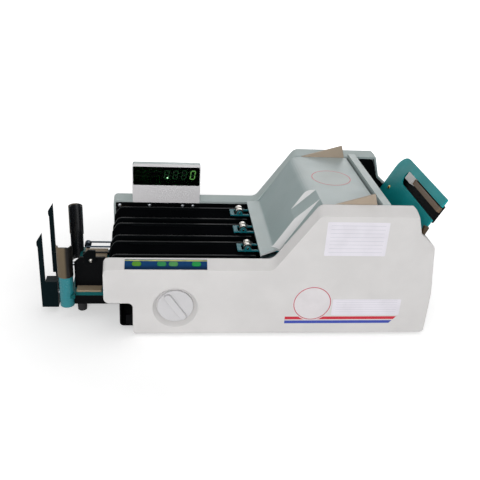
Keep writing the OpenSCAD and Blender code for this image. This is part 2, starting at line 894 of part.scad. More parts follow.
module hopper_clip() placed() color(bronze) {
    foot = behind_hopper(knee_z + 15, hopper_t + rod_r);
    difference() {
        slab(y_front + 1.2, hopper_y0)
            polygon([for (p = clip_outline) foot + p]);
        rod(foot, 0, case_depth, rod_r);
    }
}

module slot_channel() placed() color(black) {
    lip = 4;
    x0 = -slot_from_top - slot_w - lip;
    x1 = -slot_from_top + 2;
    on_hopper()
        difference() {
            block([x0, hopper_y0 + 4, -hopper_t - 5.2], [x1, slot_end + lip, -hopper_t]);
            block([x0 + lip, hopper_y0 - 1, -hopper_t - pocket], [x1 - 2, slot_end, 0]);
        }
}

module slot_rail() placed() color(bronze) {
    x1 = -slot_from_top - 2;
    on_hopper()
        block([x1 - slot_rail_w, hopper_y0 + 5, -hopper_t - pocket], [x1, slot_end - 5, -0.6]);
}

module width_guide() placed() color(case_grey) {
    x1 = -slot_from_top - 2;
    on_hopper()
        difference() {
            block([x1 - slot_rail_w - 1.8, guide_at, -hopper_t - 2.6], [x1 + 1.8, guide_at + guide_len, 3]);
            block([x1 - slot_rail_w - side_gap, guide_at - 1, -hopper_t - 5],
                [x1 + side_gap, guide_at + guide_len + 1, -0.4]);
        }
}

module main_shaft() placed() color(steel) {
    rod(main_at, dish_depth - knob_t + 1.2, pulley_y + pulley_w, shaft_r);
    rod(main_at, pulley_y, pulley_y + pulley_w, main_pulley_r);
}

module hand_knob() placed() color(case_grey) {
    face = dish_depth - fit_gap - knob_t;
    difference() {
        union() {
            rod(main_at, face, face + knob_t, knob_r);
            translate([main_at.x, face + eps, main_at.y])
                rotate([90, -grip_angle, 0])
                    stadium(2 * knob_r - 3, grip_w, 0, grip_h);
        }
        rod(main_at, dish_depth - knob_t + 1, case_depth, shaft_r + run_gap);
    }
}

module shaft_bushes() placed() color(bronze) {
    for (at = [[nose_x, roller_z], [drive_x, roller_z], main_at, [feed_x, feed_z]],
        y = [y_front - frame_t, y_rear - bush_len + frame_t])
        difference() {
            rod(at, y, y + bush_len, bush_r);
            rod(at, y - 1, y + bush_len + 1, shaft_r + run_gap);
        }
}

motor_r = 30;
motor_shaft_r = 3;

module drive_motor() placed() color(steel) {
    difference() {
        union() {
            rod(motor_at, y_rear - 95, y_rear - 3, motor_r);
            rod(motor_at, y_rear - 4, y_rear, 12);
            rod(motor_at, y_rear - 103, y_rear - 94, 12);
        }
        rod(motor_at, y_rear - 50, y_rear + 1, motor_shaft_r + run_gap);
    }
}

module motor_pulley() placed() color(steel) {
    rod(motor_at, y_rear - 48, pulley_y + pulley_w, motor_shaft_r);
    rod(motor_at, pulley_y, pulley_y + pulley_w, motor_pulley_r);
}

// Outline round all four pulleys, grown by d
module strap_outline(d) {
    hull() {
        translate(main_at) circle(main_pulley_r + d);
        translate([drive_x, roller_z]) circle(drive_pulley_r + d);
        translate([feed_x, feed_z]) circle(feed_pulley_r + d);
        translate(motor_at) circle(motor_pulley_r + d);
    }
}

module drive_belt() placed() color(rubber) {
    slab(pulley_y + 0.2, pulley_y + pulley_w - 0.2)
        difference() {
            strap_outline(fit_gap + strap_t);
            strap_outline(fit_gap);
        }
}

// Board on four pillars, with chips and a connector
board_at = [main_at.x + 25.3, y_mid - 55];
board_size = [motor_at.x - motor_r - 15 - board_at.x, 100];
pillar_h = 5;
pillar_in = 5;

module control_board() placed() color(board_green) {
    z = floor_z + floor_t + pillar_h;
    top = z + board_t - eps;
    far = board_at + board_size;
    chip_pitch = (board_size.x - 20) / 4;
    block([board_at.x, board_at.y, z], [far.x, far.y, z + board_t]);
    for (x = [board_at.x + pillar_in, far.x - pillar_in], y = [board_at.y + pillar_in, far.y - pillar_in])
        translate([x, y, floor_z + floor_t])
            cylinder(r = 3, h = pillar_h + eps);
    for (i = [0 : 3])
        translate([board_at.x + 10 + chip_pitch * i, board_at.y + 10, top])
            cube([chip_pitch * 2 / 3, 15 + 8 * i, 4 + 3 * i]);
    translate([board_at.x + 15, far.y - 25, top])
        cube([board_size.x * 0.6, 15, 12]);
}

// Laminated core and the winding round its middle limb
core_size = [58, 50, 48];
coil_size = [44, 70, 32];
core_at = [case_len - 56, y_mid - 35];

module transformer() placed() color(steel) {
    z = floor_z + floor_t + core_size.z / 2;
    for (size = [core_size, coil_size])
        translate([core_at.x, core_at.y, z])
            cube(size, center = true);
}

inlet_y = y_mid - 45;
inlet_z = 32;
switch_y = y_mid;

// Mains inlet socket with three blades, its face just proud of the end cover
module mains_inlet() placed() color(black) {
    x1 = case_len + 1.2;
    difference() {
        union() {
            block([x1 - 1.2, inlet_y - 16, inlet_z - 12.2], [x1, inlet_y + 16, inlet_z + 12.2]);
            block([x1 - 22, inlet_y - 14, inlet_z - 10.2], [x1 - 1, inlet_y + 14, inlet_z + 10.2]);
        }
        block([x1 - 17, inlet_y - 12, inlet_z - 8.2], [x1 + 1, inlet_y + 12, inlet_z + 8.2]);
    }
    for (k = [-1 : 1])
        block([x1 - 17 - eps, inlet_y + 7 * k - 1, inlet_z - 4 + (k == 0 ? 4 : 0)],
            [x1 - 3, inlet_y + 7 * k + 1, inlet_z + (k == 0 ? 4 : 0)]);
}

switch_x = case_len + 1.2;
rocker_at = [switch_x - 4, switch_y];
rocker_pin_r = 1;
rocker_tilt = 8;

module mains_switch() placed() color(black) {
    difference() {
        union() {
            block([case_len, switch_y - 12, inlet_z - 9], [switch_x, switch_y + 12, inlet_z + 9]);
            block([switch_x - 20, switch_y - 10, inlet_z - 7], [switch_x - 1, switch_y + 10, inlet_z + 7]);
        }
        block([switch_x - 12, switch_y - 8.2, inlet_z - 5], [switch_x + 1, switch_y + 8.2, inlet_z + 5]);
        translate([rocker_at.x, rocker_at.y, inlet_z - 6])
            cylinder(r = rocker_pin_r + run_gap, h = 12);
    }
}

module switch_rocker() placed() color(rubber) {
    translate([rocker_at.x, rocker_at.y, inlet_z])
        rotate([0, 0, -rocker_tilt]) {
            translate([0, 0, -4.6])
                linear_extrude(9.2)
                    polygon([[-5, -7], [4, -7.4], [3, 0], [4, 7.4], [-5, 7]]);
            translate([0, 0, -5.8])
                cylinder(r = rocker_pin_r, h = 11.6);
        }
}

// Height of the rear rim's chamfer
function rear_rim(y) = low_top - rear_drop + rear_rise * (y - y_rear) / rim_w;

// Outline of the window, with its corners rounded
function window_outline(r) = rounded([
    [disp_x0 + 1, window_z0, r],
    [disp_x0 + disp_w - 1, window_z0, r],
    [disp_x0 + disp_w - 1, window_z1, r],
    [disp_x0 + 1, window_z1, r]]);

module display_housing() placed() color(case_grey) {
    x1 = disp_x0 + disp_w;
    foot = rear_rim(y_rear);
    section = [[disp_y0, foot - 2], [y_rear, foot - 2], [y_rear, foot], [disp_y1, rear_rim(disp_y1)],
        [disp_y1, disp_top - 3], [disp_y1 - 3, disp_top], [disp_y0 + 4, disp_top],
        [disp_y0, window_z1 + 1]];
    outline = [[disp_x0, foot - 4, 1], [x1, foot - 4, 1], [x1, disp_top, disp_round],
        [disp_x0, disp_top, disp_round]];
    difference() {
        intersection() {
            beam(disp_x0 - 1, x1 + 1)
                polygon(section);
            slab(disp_y0 - 1, disp_y1 + 1)
                polygon(rounded(outline));
        }
        block([disp_x0 + disp_wall, disp_y0 + disp_wall + 1.2, low_top + 5],
            [x1 - disp_wall, disp_y1 - disp_wall, disp_top - disp_roof]);
        slab(disp_y0 - 1, disp_y1 - disp_wall - 2)
            polygon(window_outline(window_round));
    }
}

module display_window() placed() color([0.03, 0.04, 0.04]) {
    y = disp_y0 + 0.1;
    slab(y, y + window_t)
        polygon(window_outline(window_round + side_gap));
}

digits_x1 = disp_x0 + disp_w - 5;
digit_y0 = disp_y0 + window_t + 0.3;

// Board with four digit modules soldered to it
module display_board() placed() color(board_green) {
    y = digit_y0 + digit_d;
    x1 = disp_x0 + disp_w - disp_wall;
    block([disp_x0 + disp_wall, y, window_z0 - 8], [x1, y + board_t, window_z1 - fit_gap]);
    for (i = [0 : 3])
        block([digits_x1 - (i + 1) * digit_pitch + 0.2, digit_y0, (window_z0 + window_z1 - digit_h) / 2],
            [digits_x1 - i * digit_pitch - 0.2, y + eps, (window_z0 + window_z1 + digit_h) / 2]);
}

key_row = (keypad_y0 + keypad_y1) / 2 + 0.6;

module keypad_strip() placed() color([0.1, 0.27, 0.43]) {
    on_chamfer()
        difference() {
            keypad_bar(-keypad_t, 0.4);
            for (x = key_xs)
                translate([x, key_row, 0])
                    stadium(key_len + 2 * side_gap, key_w + 2 * side_gap, -5, 5);
        }
}

module key(i) {
    on_chamfer()
        translate([key_xs[i], key_row, 0])
            stadium(key_len, key_w, -key_depth, 0.4 + key_proud);
}

module key_1() placed() color([0.35, 0.65, 0.3]) key(0);

module key_2() placed() color([0.35, 0.65, 0.3]) key(1);

module key_3() placed() color([0.35, 0.65, 0.3]) key(2);

module key_4() placed() color([0.35, 0.65, 0.3]) key(3);

// Open channel under the tray, with a tall cheek at the front of the stack and a low one behind it
module stacker_base() placed() color(black) {
    x0 = -stack_x - 1;
    foot = [[cheek_x0, base_z + eps], [cheek_x1, base_z + eps]];
    low_cheek = concat(foot, [[cheek_x1, cheek_low], [cheek_x0, cheek_low]]);
    tall_cheek = concat(foot, [[cheek_x1, deck_z - 13], [-2, cheek_top], [cheek_x0 + 8, cheek_top],
        [cheek_x0, cheek_top - 8]]);
    block([x0, y_mid - base_y, base_z], [tray_x0, y_mid + base_y, base_z + base_t]);
    block([x0, y_mid - base_y, base_z], [x0 + base_t, y_mid + base_y, tray_z]);
    for (side = [-1, 1])
        difference() {
            union() {
                wall_y = y_mid + side * (base_y - base_t / 2) - base_t / 2;
                y = cheek_y0(side);
                block([x0, wall_y, base_z], [tray_x0, wall_y + base_t, tray_z]);
                slab(y, y + cheek_t)
                    polygon(side > 0 ? low_cheek : tall_cheek);
            }
            rod(lever_at, 0, y_mid, lever_pin_r + run_gap);
        }
}

// Lower Y of a cheek
function cheek_y0(side) = side > 0 ? y_mid + cheek_y - cheek_t : y_mid - cheek_y;

// Plate beside the casing, notched for the cheeks and the stack guides
module stack_plate(x0, x1, reach, z0, z1) {
    difference() {
        union() {
            block([x0, y_mid - reach, z0], [x1, y_mid + reach, z1]);
            children();
        }
        for (side = [-1, 1]) {
            block([cheek_x0, cheek_y0(side), z0 - 1], [x1 + 1, cheek_y0(side) + cheek_t, z1 + 1]);
            translate([gutter_x, y_mid + side * gutter_y, z0 - 1])
                cylinder(r = gutter_r, h = z1 - z0 + 2);
        }
    }
}

// Tray with an ear beside each stack guide
module stack_tray() placed() color(teal) {
    ear = gutter_y + gutter_r - 1;
    stack_plate(-stack_x, -4, gutter_y, tray_z, tray_z + tray_t)
        block([-stack_x, y_mid - ear, tray_z], [gutter_x + gutter_r + 2, y_mid + ear, tray_z + tray_t]);
}

module stack_pad() placed() color(beige) {
    z = tray_z + tray_t;
    stack_plate(-39, -7, gutter_y - 0.5, z, z + pad_t);
}

// Lever on the outside of the front cheek, with its own stub pin
lever_t = 3;
lever_outline = [[6.5, -1], [6.5, 14.5], [-3, 15], [-10, 8], [-6, -3], [0, -4]];

module stack_lever() placed() color(black) {
    y = y_mid - cheek_y - fit_gap;
    rod(lever_at, y - lever_t, y_mid - cheek_y + cheek_t, lever_pin_r);
    slab(y - lever_t, y)
        polygon([for (p = lever_outline) lever_at + p]);
}

module stack_guides() placed() color(teal) {
    for (side = [-1, 1])
        gutter(side, gutter_z0, gutter_top, gutter_r, gutter_r - gutter_t);
}

// Half-round upright, open towards the middle of the stack
module gutter(side, z0, z1, r_out, r_in) {
    translate([gutter_x, y_mid + side * gutter_y, 0])
        difference() {
            translate([0, 0, z0])
                cylinder(r = r_out, h = z1 - z0);
            translate([0, 0, z0 - 1])
                cylinder(r = r_in, h = z1 - z0 + 2);
            translate([-r_out - 1, side > 0 ? -r_out - 1 : 0, z0 - 1])
                cube([2 * r_out + 2, r_out + 1, z1 - z0 + 2]);
        }
}

module guide_sleeves() placed() color(bronze) {
    for (side = [-1, 1])
        gutter(side, sleeve_z0, gutter_top + 1, gutter_r + sleeve_t, gutter_r);
}

module back_stop() placed() color(black) {
    for (side = [-1, 1]) {
        y = y_mid + side * finger_y;
        difference() {
            union() {
                slab(y - finger_t / 2, y + finger_t / 2)
                    polygon([[finger_x1, stop_z], [finger_x1, finger_top], [finger_x0, finger_top - 11.5],
                        [finger_x0, finger_top - 17], [finger_x0 + 1, finger_top - 19],
                        [finger_x0 + 1, stop_z]]);
                block([finger_x1 - eps, min(y + side * 2, y - side * 14), stop_z],
                    [finger_x1 + block_len, max(y + side * 2, y - side * 14), stop_z + block_h]);
            }
            rod_x(finger_x0 - 1, 0, y_mid + side * (finger_y - 8), slide_z, slide_r + run_gap);
        }
    }
    block([finger_x1 + 3, y_mid - finger_y, stop_z], [finger_x1 + 11, y_mid + finger_y, stop_z + 5]);
}

module note_arm() placed() color(steel) {
    tip = arm_pin + [-34, 0];
    for (side = [-1, 1])
        rod_x(tip.x - 2, arm_pin.x, y_mid + side * 7, arm_pin.y, 1.2);
    rod(arm_pin, y_mid - 15, y_mid + 15, 3.2);
    rod(arm_pin, y_mid - rail_w / 2, y_mid + rail_w / 2, arm_pin_r);
    rod(tip, y_mid - 8, y_mid + 8, 1.6);
    for (y = [-3, 0, 3])
        rod(tip, y_mid + y - 1, y_mid + y + 1, 4.5);
}

base_tray();
front_frame();
rear_frame();
front_cover();
rear_cover();
end_cover();
cross_bar();
hood();
hood_frame();
hinge_pin();
wall_screws();
deck_plate();
front_rail();
middle_rail();
rear_rail();
deck_belts();
belt_drive_shaft();
nose_shaft();
pinch_bar();
pinch_brackets();
pinch_rollers();
note_guide();
feed_shaft();
retard_shaft();
hopper_wall();
hopper_plate();
fixed_rods();
hopper_clip();
slot_channel();
slot_rail();
width_guide();
main_shaft();
hand_knob();
shaft_bushes();
drive_motor();
motor_pulley();
drive_belt();
control_board();
transformer();
mains_inlet();
mains_switch();
switch_rocker();
display_housing();
display_window();
display_board();
keypad_strip();
key_1();
key_2();
key_3();
key_4();
feet();
stacker_base();
stack_tray();
stack_pad();
stack_guides();
guide_sleeves();
back_stop();
stack_lever();
note_arm();
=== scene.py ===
"""Studio view of a note counting machine.

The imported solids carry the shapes. This script gives every node its finish, adds the printed, lit
and turned details that the solids leave out, and sets the floor, the light and the camera.
"""

from __future__ import annotations

import logging
import math
from dataclasses import dataclass
from enum import Enum

import bpy
import numpy as np
from mathutils import Matrix, Vector

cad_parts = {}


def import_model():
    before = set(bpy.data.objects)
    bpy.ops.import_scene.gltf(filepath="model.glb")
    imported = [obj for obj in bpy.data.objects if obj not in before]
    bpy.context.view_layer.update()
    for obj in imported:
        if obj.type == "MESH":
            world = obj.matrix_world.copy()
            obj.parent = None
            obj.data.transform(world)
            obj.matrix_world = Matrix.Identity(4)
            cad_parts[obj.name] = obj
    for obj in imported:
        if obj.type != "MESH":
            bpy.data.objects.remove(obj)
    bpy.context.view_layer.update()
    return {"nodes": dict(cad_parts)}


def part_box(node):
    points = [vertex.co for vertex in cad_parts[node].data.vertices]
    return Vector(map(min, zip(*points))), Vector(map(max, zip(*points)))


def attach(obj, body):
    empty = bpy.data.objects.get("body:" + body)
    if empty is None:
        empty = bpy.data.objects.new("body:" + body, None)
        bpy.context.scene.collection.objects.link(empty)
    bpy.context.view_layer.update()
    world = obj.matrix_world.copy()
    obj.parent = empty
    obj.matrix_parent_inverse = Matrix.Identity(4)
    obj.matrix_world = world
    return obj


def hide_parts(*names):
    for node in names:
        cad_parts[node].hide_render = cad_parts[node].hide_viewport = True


LOG = logging.getLogger("note_counter")
MM = 0.001
SEAT = 0.05  # mm by which a print or a label goes into the face that carries it
SHARP_ANGLE = math.radians(35.0)
RIGHT, BACK, UP = np.eye(3)
Rgb = tuple[float, float, float]
Point = tuple[float, float, float]
Pair = tuple[float, float]
Socket = bpy.types.NodeSocket
Sockets = bpy.types.bpy_prop_collection


class Body(Enum):
    """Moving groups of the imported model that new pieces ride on."""

    MACHINE = "machine"
    HOOD = "hood_cover"
    LEVER = "lever"
    ROCKER = "rocker"
    KEY_1 = "key_a"
    KEY_2 = "key_b"
    KEY_3 = "key_c"
    KEY_4 = "key_d"


class Effect(Enum):
    """Surface effects that several finishes share, each built once as a node group."""

    GRAIN = "moulded_grain"
    EDGE = "soft_edge"
    DUST = "settled_dust"
    MARKS = "handling_marks"
    STREAKS = "tool_streaks"


EFFECT_SOCKETS: dict[Effect, tuple[dict[str, float], dict[str, str]]] = {
    Effect.GRAIN: ({"Scale": 1800.0}, {"Height": "Float", "Mottle": "Float"}),
    Effect.EDGE: ({"Radius": 0.0006}, {"Normal": "Vector", "Mask": "Float"}),
    Effect.DUST: ({"Scale": 60.0}, {"Mask": "Float"}),
    Effect.MARKS: ({"Scale": 35.0}, {"Marks": "Float"}),
    Effect.STREAKS: ({"Fine": 2600.0, "Along": 40.0}, {"Streaks": "Float"}),
}


def srgb(*channels: int) -> Rgb:
    """Give the linear colour of 8-bit screen channels, by the usual curve with a straight foot."""
    c = np.array(channels) / 255.0
    return tuple(np.where(c <= 0.04045, c / 12.92, ((c + 0.055) / 1.055) ** 2.4).tolist())


def shade(tint: Rgb, gain: float) -> Rgb:
    """Scale a colour, keeping each channel at 1 or below."""
    return tuple(min(1.0, v * gain) for v in tint)


class Graph:
    """Adds and joins the nodes of one node tree."""

    def __init__(self, tree: bpy.types.NodeTree) -> None:
        """Keep the tree that the nodes go into."""
        self.tree = tree

    def put(self, value: object, socket: Socket) -> None:
        """Link an output to a socket, or set the socket to a constant.

        Args:
            value: An output socket, a number, a vector or a colour.
            socket: The input that takes it.
        """
        if isinstance(value, Socket):
            self.tree.links.new(value, socket)
        else:
            socket.default_value = (*value, 1.0) if socket.type == "RGBA" else value

    def feed(self, **inputs: object) -> None:
        """Fill inputs of the tree's Principled shader, with _ for the spaces in their names."""
        for key, value in inputs.items():
            self.put(value, self.tree.nodes["Principled BSDF"].inputs[key.replace("_", " ")])

    def add(self, kind: str, inputs: dict | None = None, **settings: object) -> bpy.types.Node:
        """Add one node.

        Args:
            kind: Node type after its "ShaderNode" prefix.
            inputs: What each named or numbered input takes.
            settings: Attributes to set on the node first.

        Returns:
            The new node.
        """
        node = self.tree.nodes.new("ShaderNode" + kind)
        for key, value in settings.items():
            setattr(node, key, value)
        for key, value in (inputs or {}).items():
            self.put(value, node.inputs[key])
        return node

    def math(self, operation: str, a: object, b: object = 0.0) -> Socket:
        """Give the output of one Math node."""
        return self.add("Math", {0: a, 1: b}, operation=operation).outputs[0]

    def times(self, a: object, b: object) -> Socket:
        """Give the product of two values."""
        return self.math("MULTIPLY", a, b)

    def between(self, value: object, low: float, high: float) -> Socket:
        """Give 1 where a value lies between two bounds, and 0 elsewhere."""
        above = self.math("GREATER_THAN", value, low)
        return self.times(above, self.math("LESS_THAN", value, high))

    def vector(self, operation: str, a: object, b: object = (0.0, 0.0, 0.0)) -> Sockets:
        """Give the outputs of one Vector Math node."""
        return self.add("VectorMath", {0: a, 1: b}, operation=operation).outputs

    def split(self, vector: object) -> Sockets:
        """Give the X, Y and Z of a vector."""
        return self.add("SeparateXYZ", {0: vector}).outputs

    def mix(self, share: object, a: object, b: object) -> Socket:
        """Give a colour that goes from a to b with the share."""
        return self.add("Mix", {0: share, 6: a, 7: b}, data_type="RGBA").outputs[2]

    def ramp(self, value: object, low: float = 0.3, high: float = 0.7, first: float = 0.0,
             last: float = 1.0) -> Socket:
        """Carry a value from the span low..high to first..last with a smooth step."""
        ends = {"Value": value, "From Min": low, "From Max": high, "To Min": first, "To Max": last}
        return self.add("MapRange", ends, interpolation_type="SMOOTHSTEP").outputs[0]

    def place(self) -> Socket:
        """Give the surface point in the object's own metres."""
        return self.add("TexCoord").outputs["Object"]

    def noise(self, scale: object, detail: float = 3.0, vector: object = None) -> Socket:
        """Give the value of a noise of so many waves per metre."""
        inputs = {"Vector": vector or self.place(), "Scale": scale, "Detail": detail}
        return self.add("TexNoise", inputs).outputs[0]

    def bump(self, height: object, distance: float, normal: Socket | None = None) -> Socket:
        """Give the normal of a height that stands so many metres proud."""
        inputs = {"Strength": 1.0, "Distance": distance, "Height": height}
        return self.add("Bump", inputs | ({"Normal": normal} if normal else {})).outputs[0]

    def effect(self, kind: Effect, **inputs: float) -> Sockets:
        """Place a shared effect with its values in this finish, and give its outputs."""
        return self.add("Group", inputs, node_tree=effect_group(kind)).outputs


def effect_group(kind: Effect) -> bpy.types.NodeTree:
    """Give a shared effect's node group, building it at its first use.

    Args:
        kind: Which effect.

    Returns:
        The node group, with named inputs and outputs.
    """
    found = bpy.data.node_groups.get(kind.value)
    if found:
        return found
    tree = bpy.data.node_groups.new(kind.value, "ShaderNodeTree")
    values, results = EFFECT_SOCKETS[kind]
    for name, value in values.items():
        made = tree.interface.new_socket(name=name, in_out="INPUT", socket_type="NodeSocketFloat")
        made.default_value = value
    for name, sort in results.items():
        tree.interface.new_socket(name=name, in_out="OUTPUT", socket_type="NodeSocket" + sort)
    start = tree.nodes.new("NodeGroupInput").outputs
    end = tree.nodes.new("NodeGroupOutput").inputs
    graph = Graph(tree)
    if kind is Effect.GRAIN:
        inputs = {"Vector": graph.place(), "Scale": start["Scale"]}
        cells = graph.add("TexVoronoi", inputs).outputs["Distance"]
        graph.put(graph.math("ADD", cells, graph.noise(start["Scale"])), end["Height"])
        graph.put(graph.noise(scale=22.0, detail=5.0), end["Mottle"])
    elif kind is Effect.EDGE:
        round_off = graph.add("Bevel", {"Radius": start["Radius"]}, samples=6).outputs[0]
        facing = graph.add("NewGeometry").outputs["Normal"]
        along = graph.vector("DOT_PRODUCT", round_off, facing)["Value"]
        graph.put(round_off, end["Normal"])
        graph.put(graph.ramp(along, low=0.995, high=0.8), end["Mask"])
    elif kind is Effect.DUST:
        facing = graph.split(graph.add("NewGeometry").outputs["Normal"])["Z"]
        patches = graph.ramp(graph.noise(start["Scale"], detail=6.0), low=0.4, first=0.2)
        graph.put(graph.times(graph.ramp(facing, high=1.0), patches), end["Mask"])
    elif kind is Effect.MARKS:
        broad = graph.ramp(graph.noise(start["Scale"], detail=4.0), low=0.35, first=0.4)
        fine = graph.noise(graph.times(start["Scale"], 9.0), detail=5.0)
        graph.put(graph.times(broad, fine), end["Marks"])
    else:
        inputs = {0: start["Along"], 1: start["Fine"], 2: start["Along"]}
        stretch = graph.add("CombineXYZ", inputs).outputs[0]
        drawn_out = graph.vector("MULTIPLY", graph.place(), stretch)["Vector"]
        graph.put(graph.noise(scale=1.0, vector=drawn_out), end["Streaks"])
    return tree


@dataclass(frozen=True)
class Finish:
    """Base of every finish: one named material round one Principled shader."""

    name: str
    tint: Rgb
    roughness: float = 0.4
    shine: float = 0.5
    smoother: float = 0.05
    rougher: float = 0.05
    marks: float = 35.0

    def material(self) -> bpy.types.Material:
        """Give the material, building it at its first use.

        Returns:
            The material of this finish's name.
        """
        found = bpy.data.materials.get(self.name)
        if found:
            return found
        made = bpy.data.materials.new(self.name)
        made.use_nodes = True
        made.diffuse_color = (*self.tint, 1.0)
        graph = Graph(made.node_tree)
        graph.feed(Specular_IOR_Level=self.shine)
        self.paint(graph)
        return made

    def rough(self, graph: Graph, value: Socket, low: float = 0.3) -> Socket:
        """Give a roughness that goes from smoother to rougher as a value rises."""
        span = {"first": self.roughness - self.smoother, "last": self.roughness + self.rougher}
        return graph.ramp(value, low, **span)

    def handled(self, graph: Graph) -> Socket:
        """Give a roughness that follows the handling marks."""
        return self.rough(graph, graph.effect(Effect.MARKS, Scale=self.marks)["Marks"], low=0.1)

    def paint(self, graph: Graph) -> None:
        """Fill the shader's inputs; each finish has its own way."""
        raise NotImplementedError


@dataclass(frozen=True)
class MouldedPlastic(Finish):
    """Moulding with an eroded grain, faint mottle, handled patches, dust, softened edges and
    painted light along them.
    """

    smoother: float = 0.06
    rougher: float = 0.09
    grain: float = 0.00004
    grain_scale: float = 1500.0
    dust: float = 0.1
    dust_tint: Rgb = srgb(186, 182, 172)
    # painted light along the edges: its share, and its gain, lighter above 1 and darker below
    edge_light_share: float = 0.25
    edge_light_gain: float = 1.6
    edge_radius: float = 0.0008

    def tone(self, graph: Graph, mottle: Socket) -> Socket:
        """Give the moulding's own colour with its faint mottle."""
        return graph.mix(graph.ramp(mottle), self.tint, shade(self.tint, gain=0.94))

    def paint(self, graph: Graph) -> None:
        """Mix mottle, painted light along the edges and dust, and raise the grain on the softened
        edges.

        Args:
            graph: The material's nodes.
        """
        grain = graph.effect(Effect.GRAIN, Scale=self.grain_scale)
        edge = graph.effect(Effect.EDGE, Radius=self.edge_radius)
        body = self.tone(graph, grain["Mottle"])
        # painted highlight along the edges, and a painted shade where the gain is below 1
        rim = graph.times(edge["Mask"], self.edge_light_share)
        painted_edge_light = graph.mix(rim, body, shade(self.tint, self.edge_light_gain))
        settled = graph.times(graph.effect(Effect.DUST)["Mask"], self.dust)
        graph.feed(Base_Color=graph.mix(settled, painted_edge_light, self.dust_tint),
                   Roughness=self.handled(graph),
                   Normal=graph.bump(grain["Height"], self.grain, edge["Normal"]))


@dataclass(frozen=True)
class PaintedLightPlastic(MouldedPlastic):
    """Painted light: a moulding paler on faces turned to the front or back, a little on level ones.
    """

    pale: Rgb = (0.7, 0.7, 0.7)
    level: float = 0.22
    side: float = -1.0

    def tone(self, graph: Graph, mottle: Socket) -> Socket:
        """Blend to the pale colour by the normal's lean to the chosen side or upwards, as painted
        light.

        Args:
            graph: The material's nodes.
            mottle: The value that the mottle follows.

        Returns:
            The blended colour.
        """
        normal = graph.split(graph.add("NewGeometry").outputs["True Normal"])
        lean = graph.ramp(graph.times(normal["Y"], self.side), low=0.1, high=0.5)
        flat = graph.ramp(normal["Z"], low=0.6, high=0.95, last=self.level)
        # painted light: faces turned to the chosen side, and level faces, made paler as if lit
        painted_light = graph.math("MAXIMUM", lean, flat)
        return graph.mix(painted_light, super().tone(graph, mottle), self.pale)


@dataclass(frozen=True)
class Enamel(Finish):
    """Stoved paint on sheet metal: orange peel, a clear gloss, thin paint along the edges."""

    smoother: float = 0.07
    rougher: float = 0.12
    marks: float = 50.0
    peel: float = 0.00006
    chips: float = 0.5
    gloss: float = 0.35
    gloss_roughness: float = 0.12
    edge_radius: float = 0.0005
    bare: Rgb = (0.45, 0.46, 0.47)

    def tone(self, graph: Graph) -> Socket:
        """Give the paint's own colour with its slow drift."""
        drift = graph.ramp(graph.noise(scale=28.0, detail=4.0))
        return graph.mix(drift, self.tint, shade(self.tint, gain=0.85))

    def paint(self, graph: Graph) -> None:
        """Wear the edges through in spots, vary the gloss and add the peel.

        Args:
            graph: The material's nodes.
        """
        edge = graph.effect(Effect.EDGE, Radius=self.edge_radius)
        patches = graph.noise(scale=260.0, detail=5.0)
        spots = graph.ramp(patches, low=0.52, high=0.66, last=self.chips)
        peel = graph.noise(scale=420.0, detail=2.0)
        worn = graph.times(edge["Mask"], spots)
        graph.feed(Base_Color=graph.mix(worn, self.tone(graph), self.bare),
                   Roughness=self.handled(graph), Coat_Weight=self.gloss,
                   Coat_Roughness=self.gloss_roughness,
                   Normal=graph.bump(peel, self.peel, edge["Normal"]))


@dataclass(frozen=True)
class LinedEnamel(Enamel):
    """Paint on the outside of two half-round uprights whose inside is lined black."""

    axis_x: float = 0.0
    axis_y: float = 0.06
    bore: float = 0.00912
    lining: Rgb = (0.008, 0.009, 0.011)

    def tone(self, graph: Graph) -> Socket:
        """Give black nearer to the upright's own axis than its wall, and paint outside.

        Args:
            graph: The material's nodes.

        Returns:
            The colour, chosen by the root of x x + y y, measured from the axis.
        """
        point = graph.split(graph.place())
        x = graph.math("SUBTRACT", point["X"], self.axis_x)
        y = graph.math("SUBTRACT", graph.math("ABSOLUTE", point["Y"]), self.axis_y)
        away = graph.math("SQRT", graph.math("ADD", graph.times(x, x), graph.times(y, y)))
        outside = graph.math("GREATER_THAN", away, self.bore)
        return graph.mix(outside, self.lining, super().tone(graph))


@dataclass(frozen=True)
class ShadedEnamel(Enamel):
    """Paint on the uprights' sleeves, with painted shade almost black on the side towards the deck.
    """

    axis_x: float = 0.0
    spread: float = 0.004
    painted_shade: Rgb = (0.006, 0.0055, 0.005)

    def tone(self, graph: Graph) -> Socket:
        """Darken the paint from the uprights' axis towards the deck, as painted shade."""
        # painted shade: near black past the axis, on the side towards the deck
        past = graph.math("SUBTRACT", graph.split(graph.place())["X"], self.axis_x)
        return graph.mix(graph.ramp(past, 0.0, self.spread), super().tone(graph), self.painted_shade)


@dataclass(frozen=True)
class TurnedMetal(Finish):
    """Bare metal with tool lines across the shafts, handled patches and a few dull spots."""

    smoother: float = 0.06
    rougher: float = 0.04
    marks: float = 80.0
    relief: float = 0.00002
    line_dull: float = 0.12
    edge_radius: float = 0.0003

    def paint(self, graph: Graph) -> None:
        """Draw the tool lines into colour, roughness and relief.

        Args:
            graph: The material's nodes.
        """
        lines = graph.effect(Effect.STREAKS)["Streaks"]
        edge = graph.effect(Effect.EDGE, Radius=self.edge_radius)
        dull = graph.times(lines, self.line_dull)
        graph.feed(Base_Color=graph.mix(graph.ramp(lines), shade(self.tint, gain=0.82), self.tint),
                   Roughness=graph.math("ADD", dull, self.handled(graph)), Metallic=1.0,
                   Normal=graph.bump(lines, self.relief, edge["Normal"]))


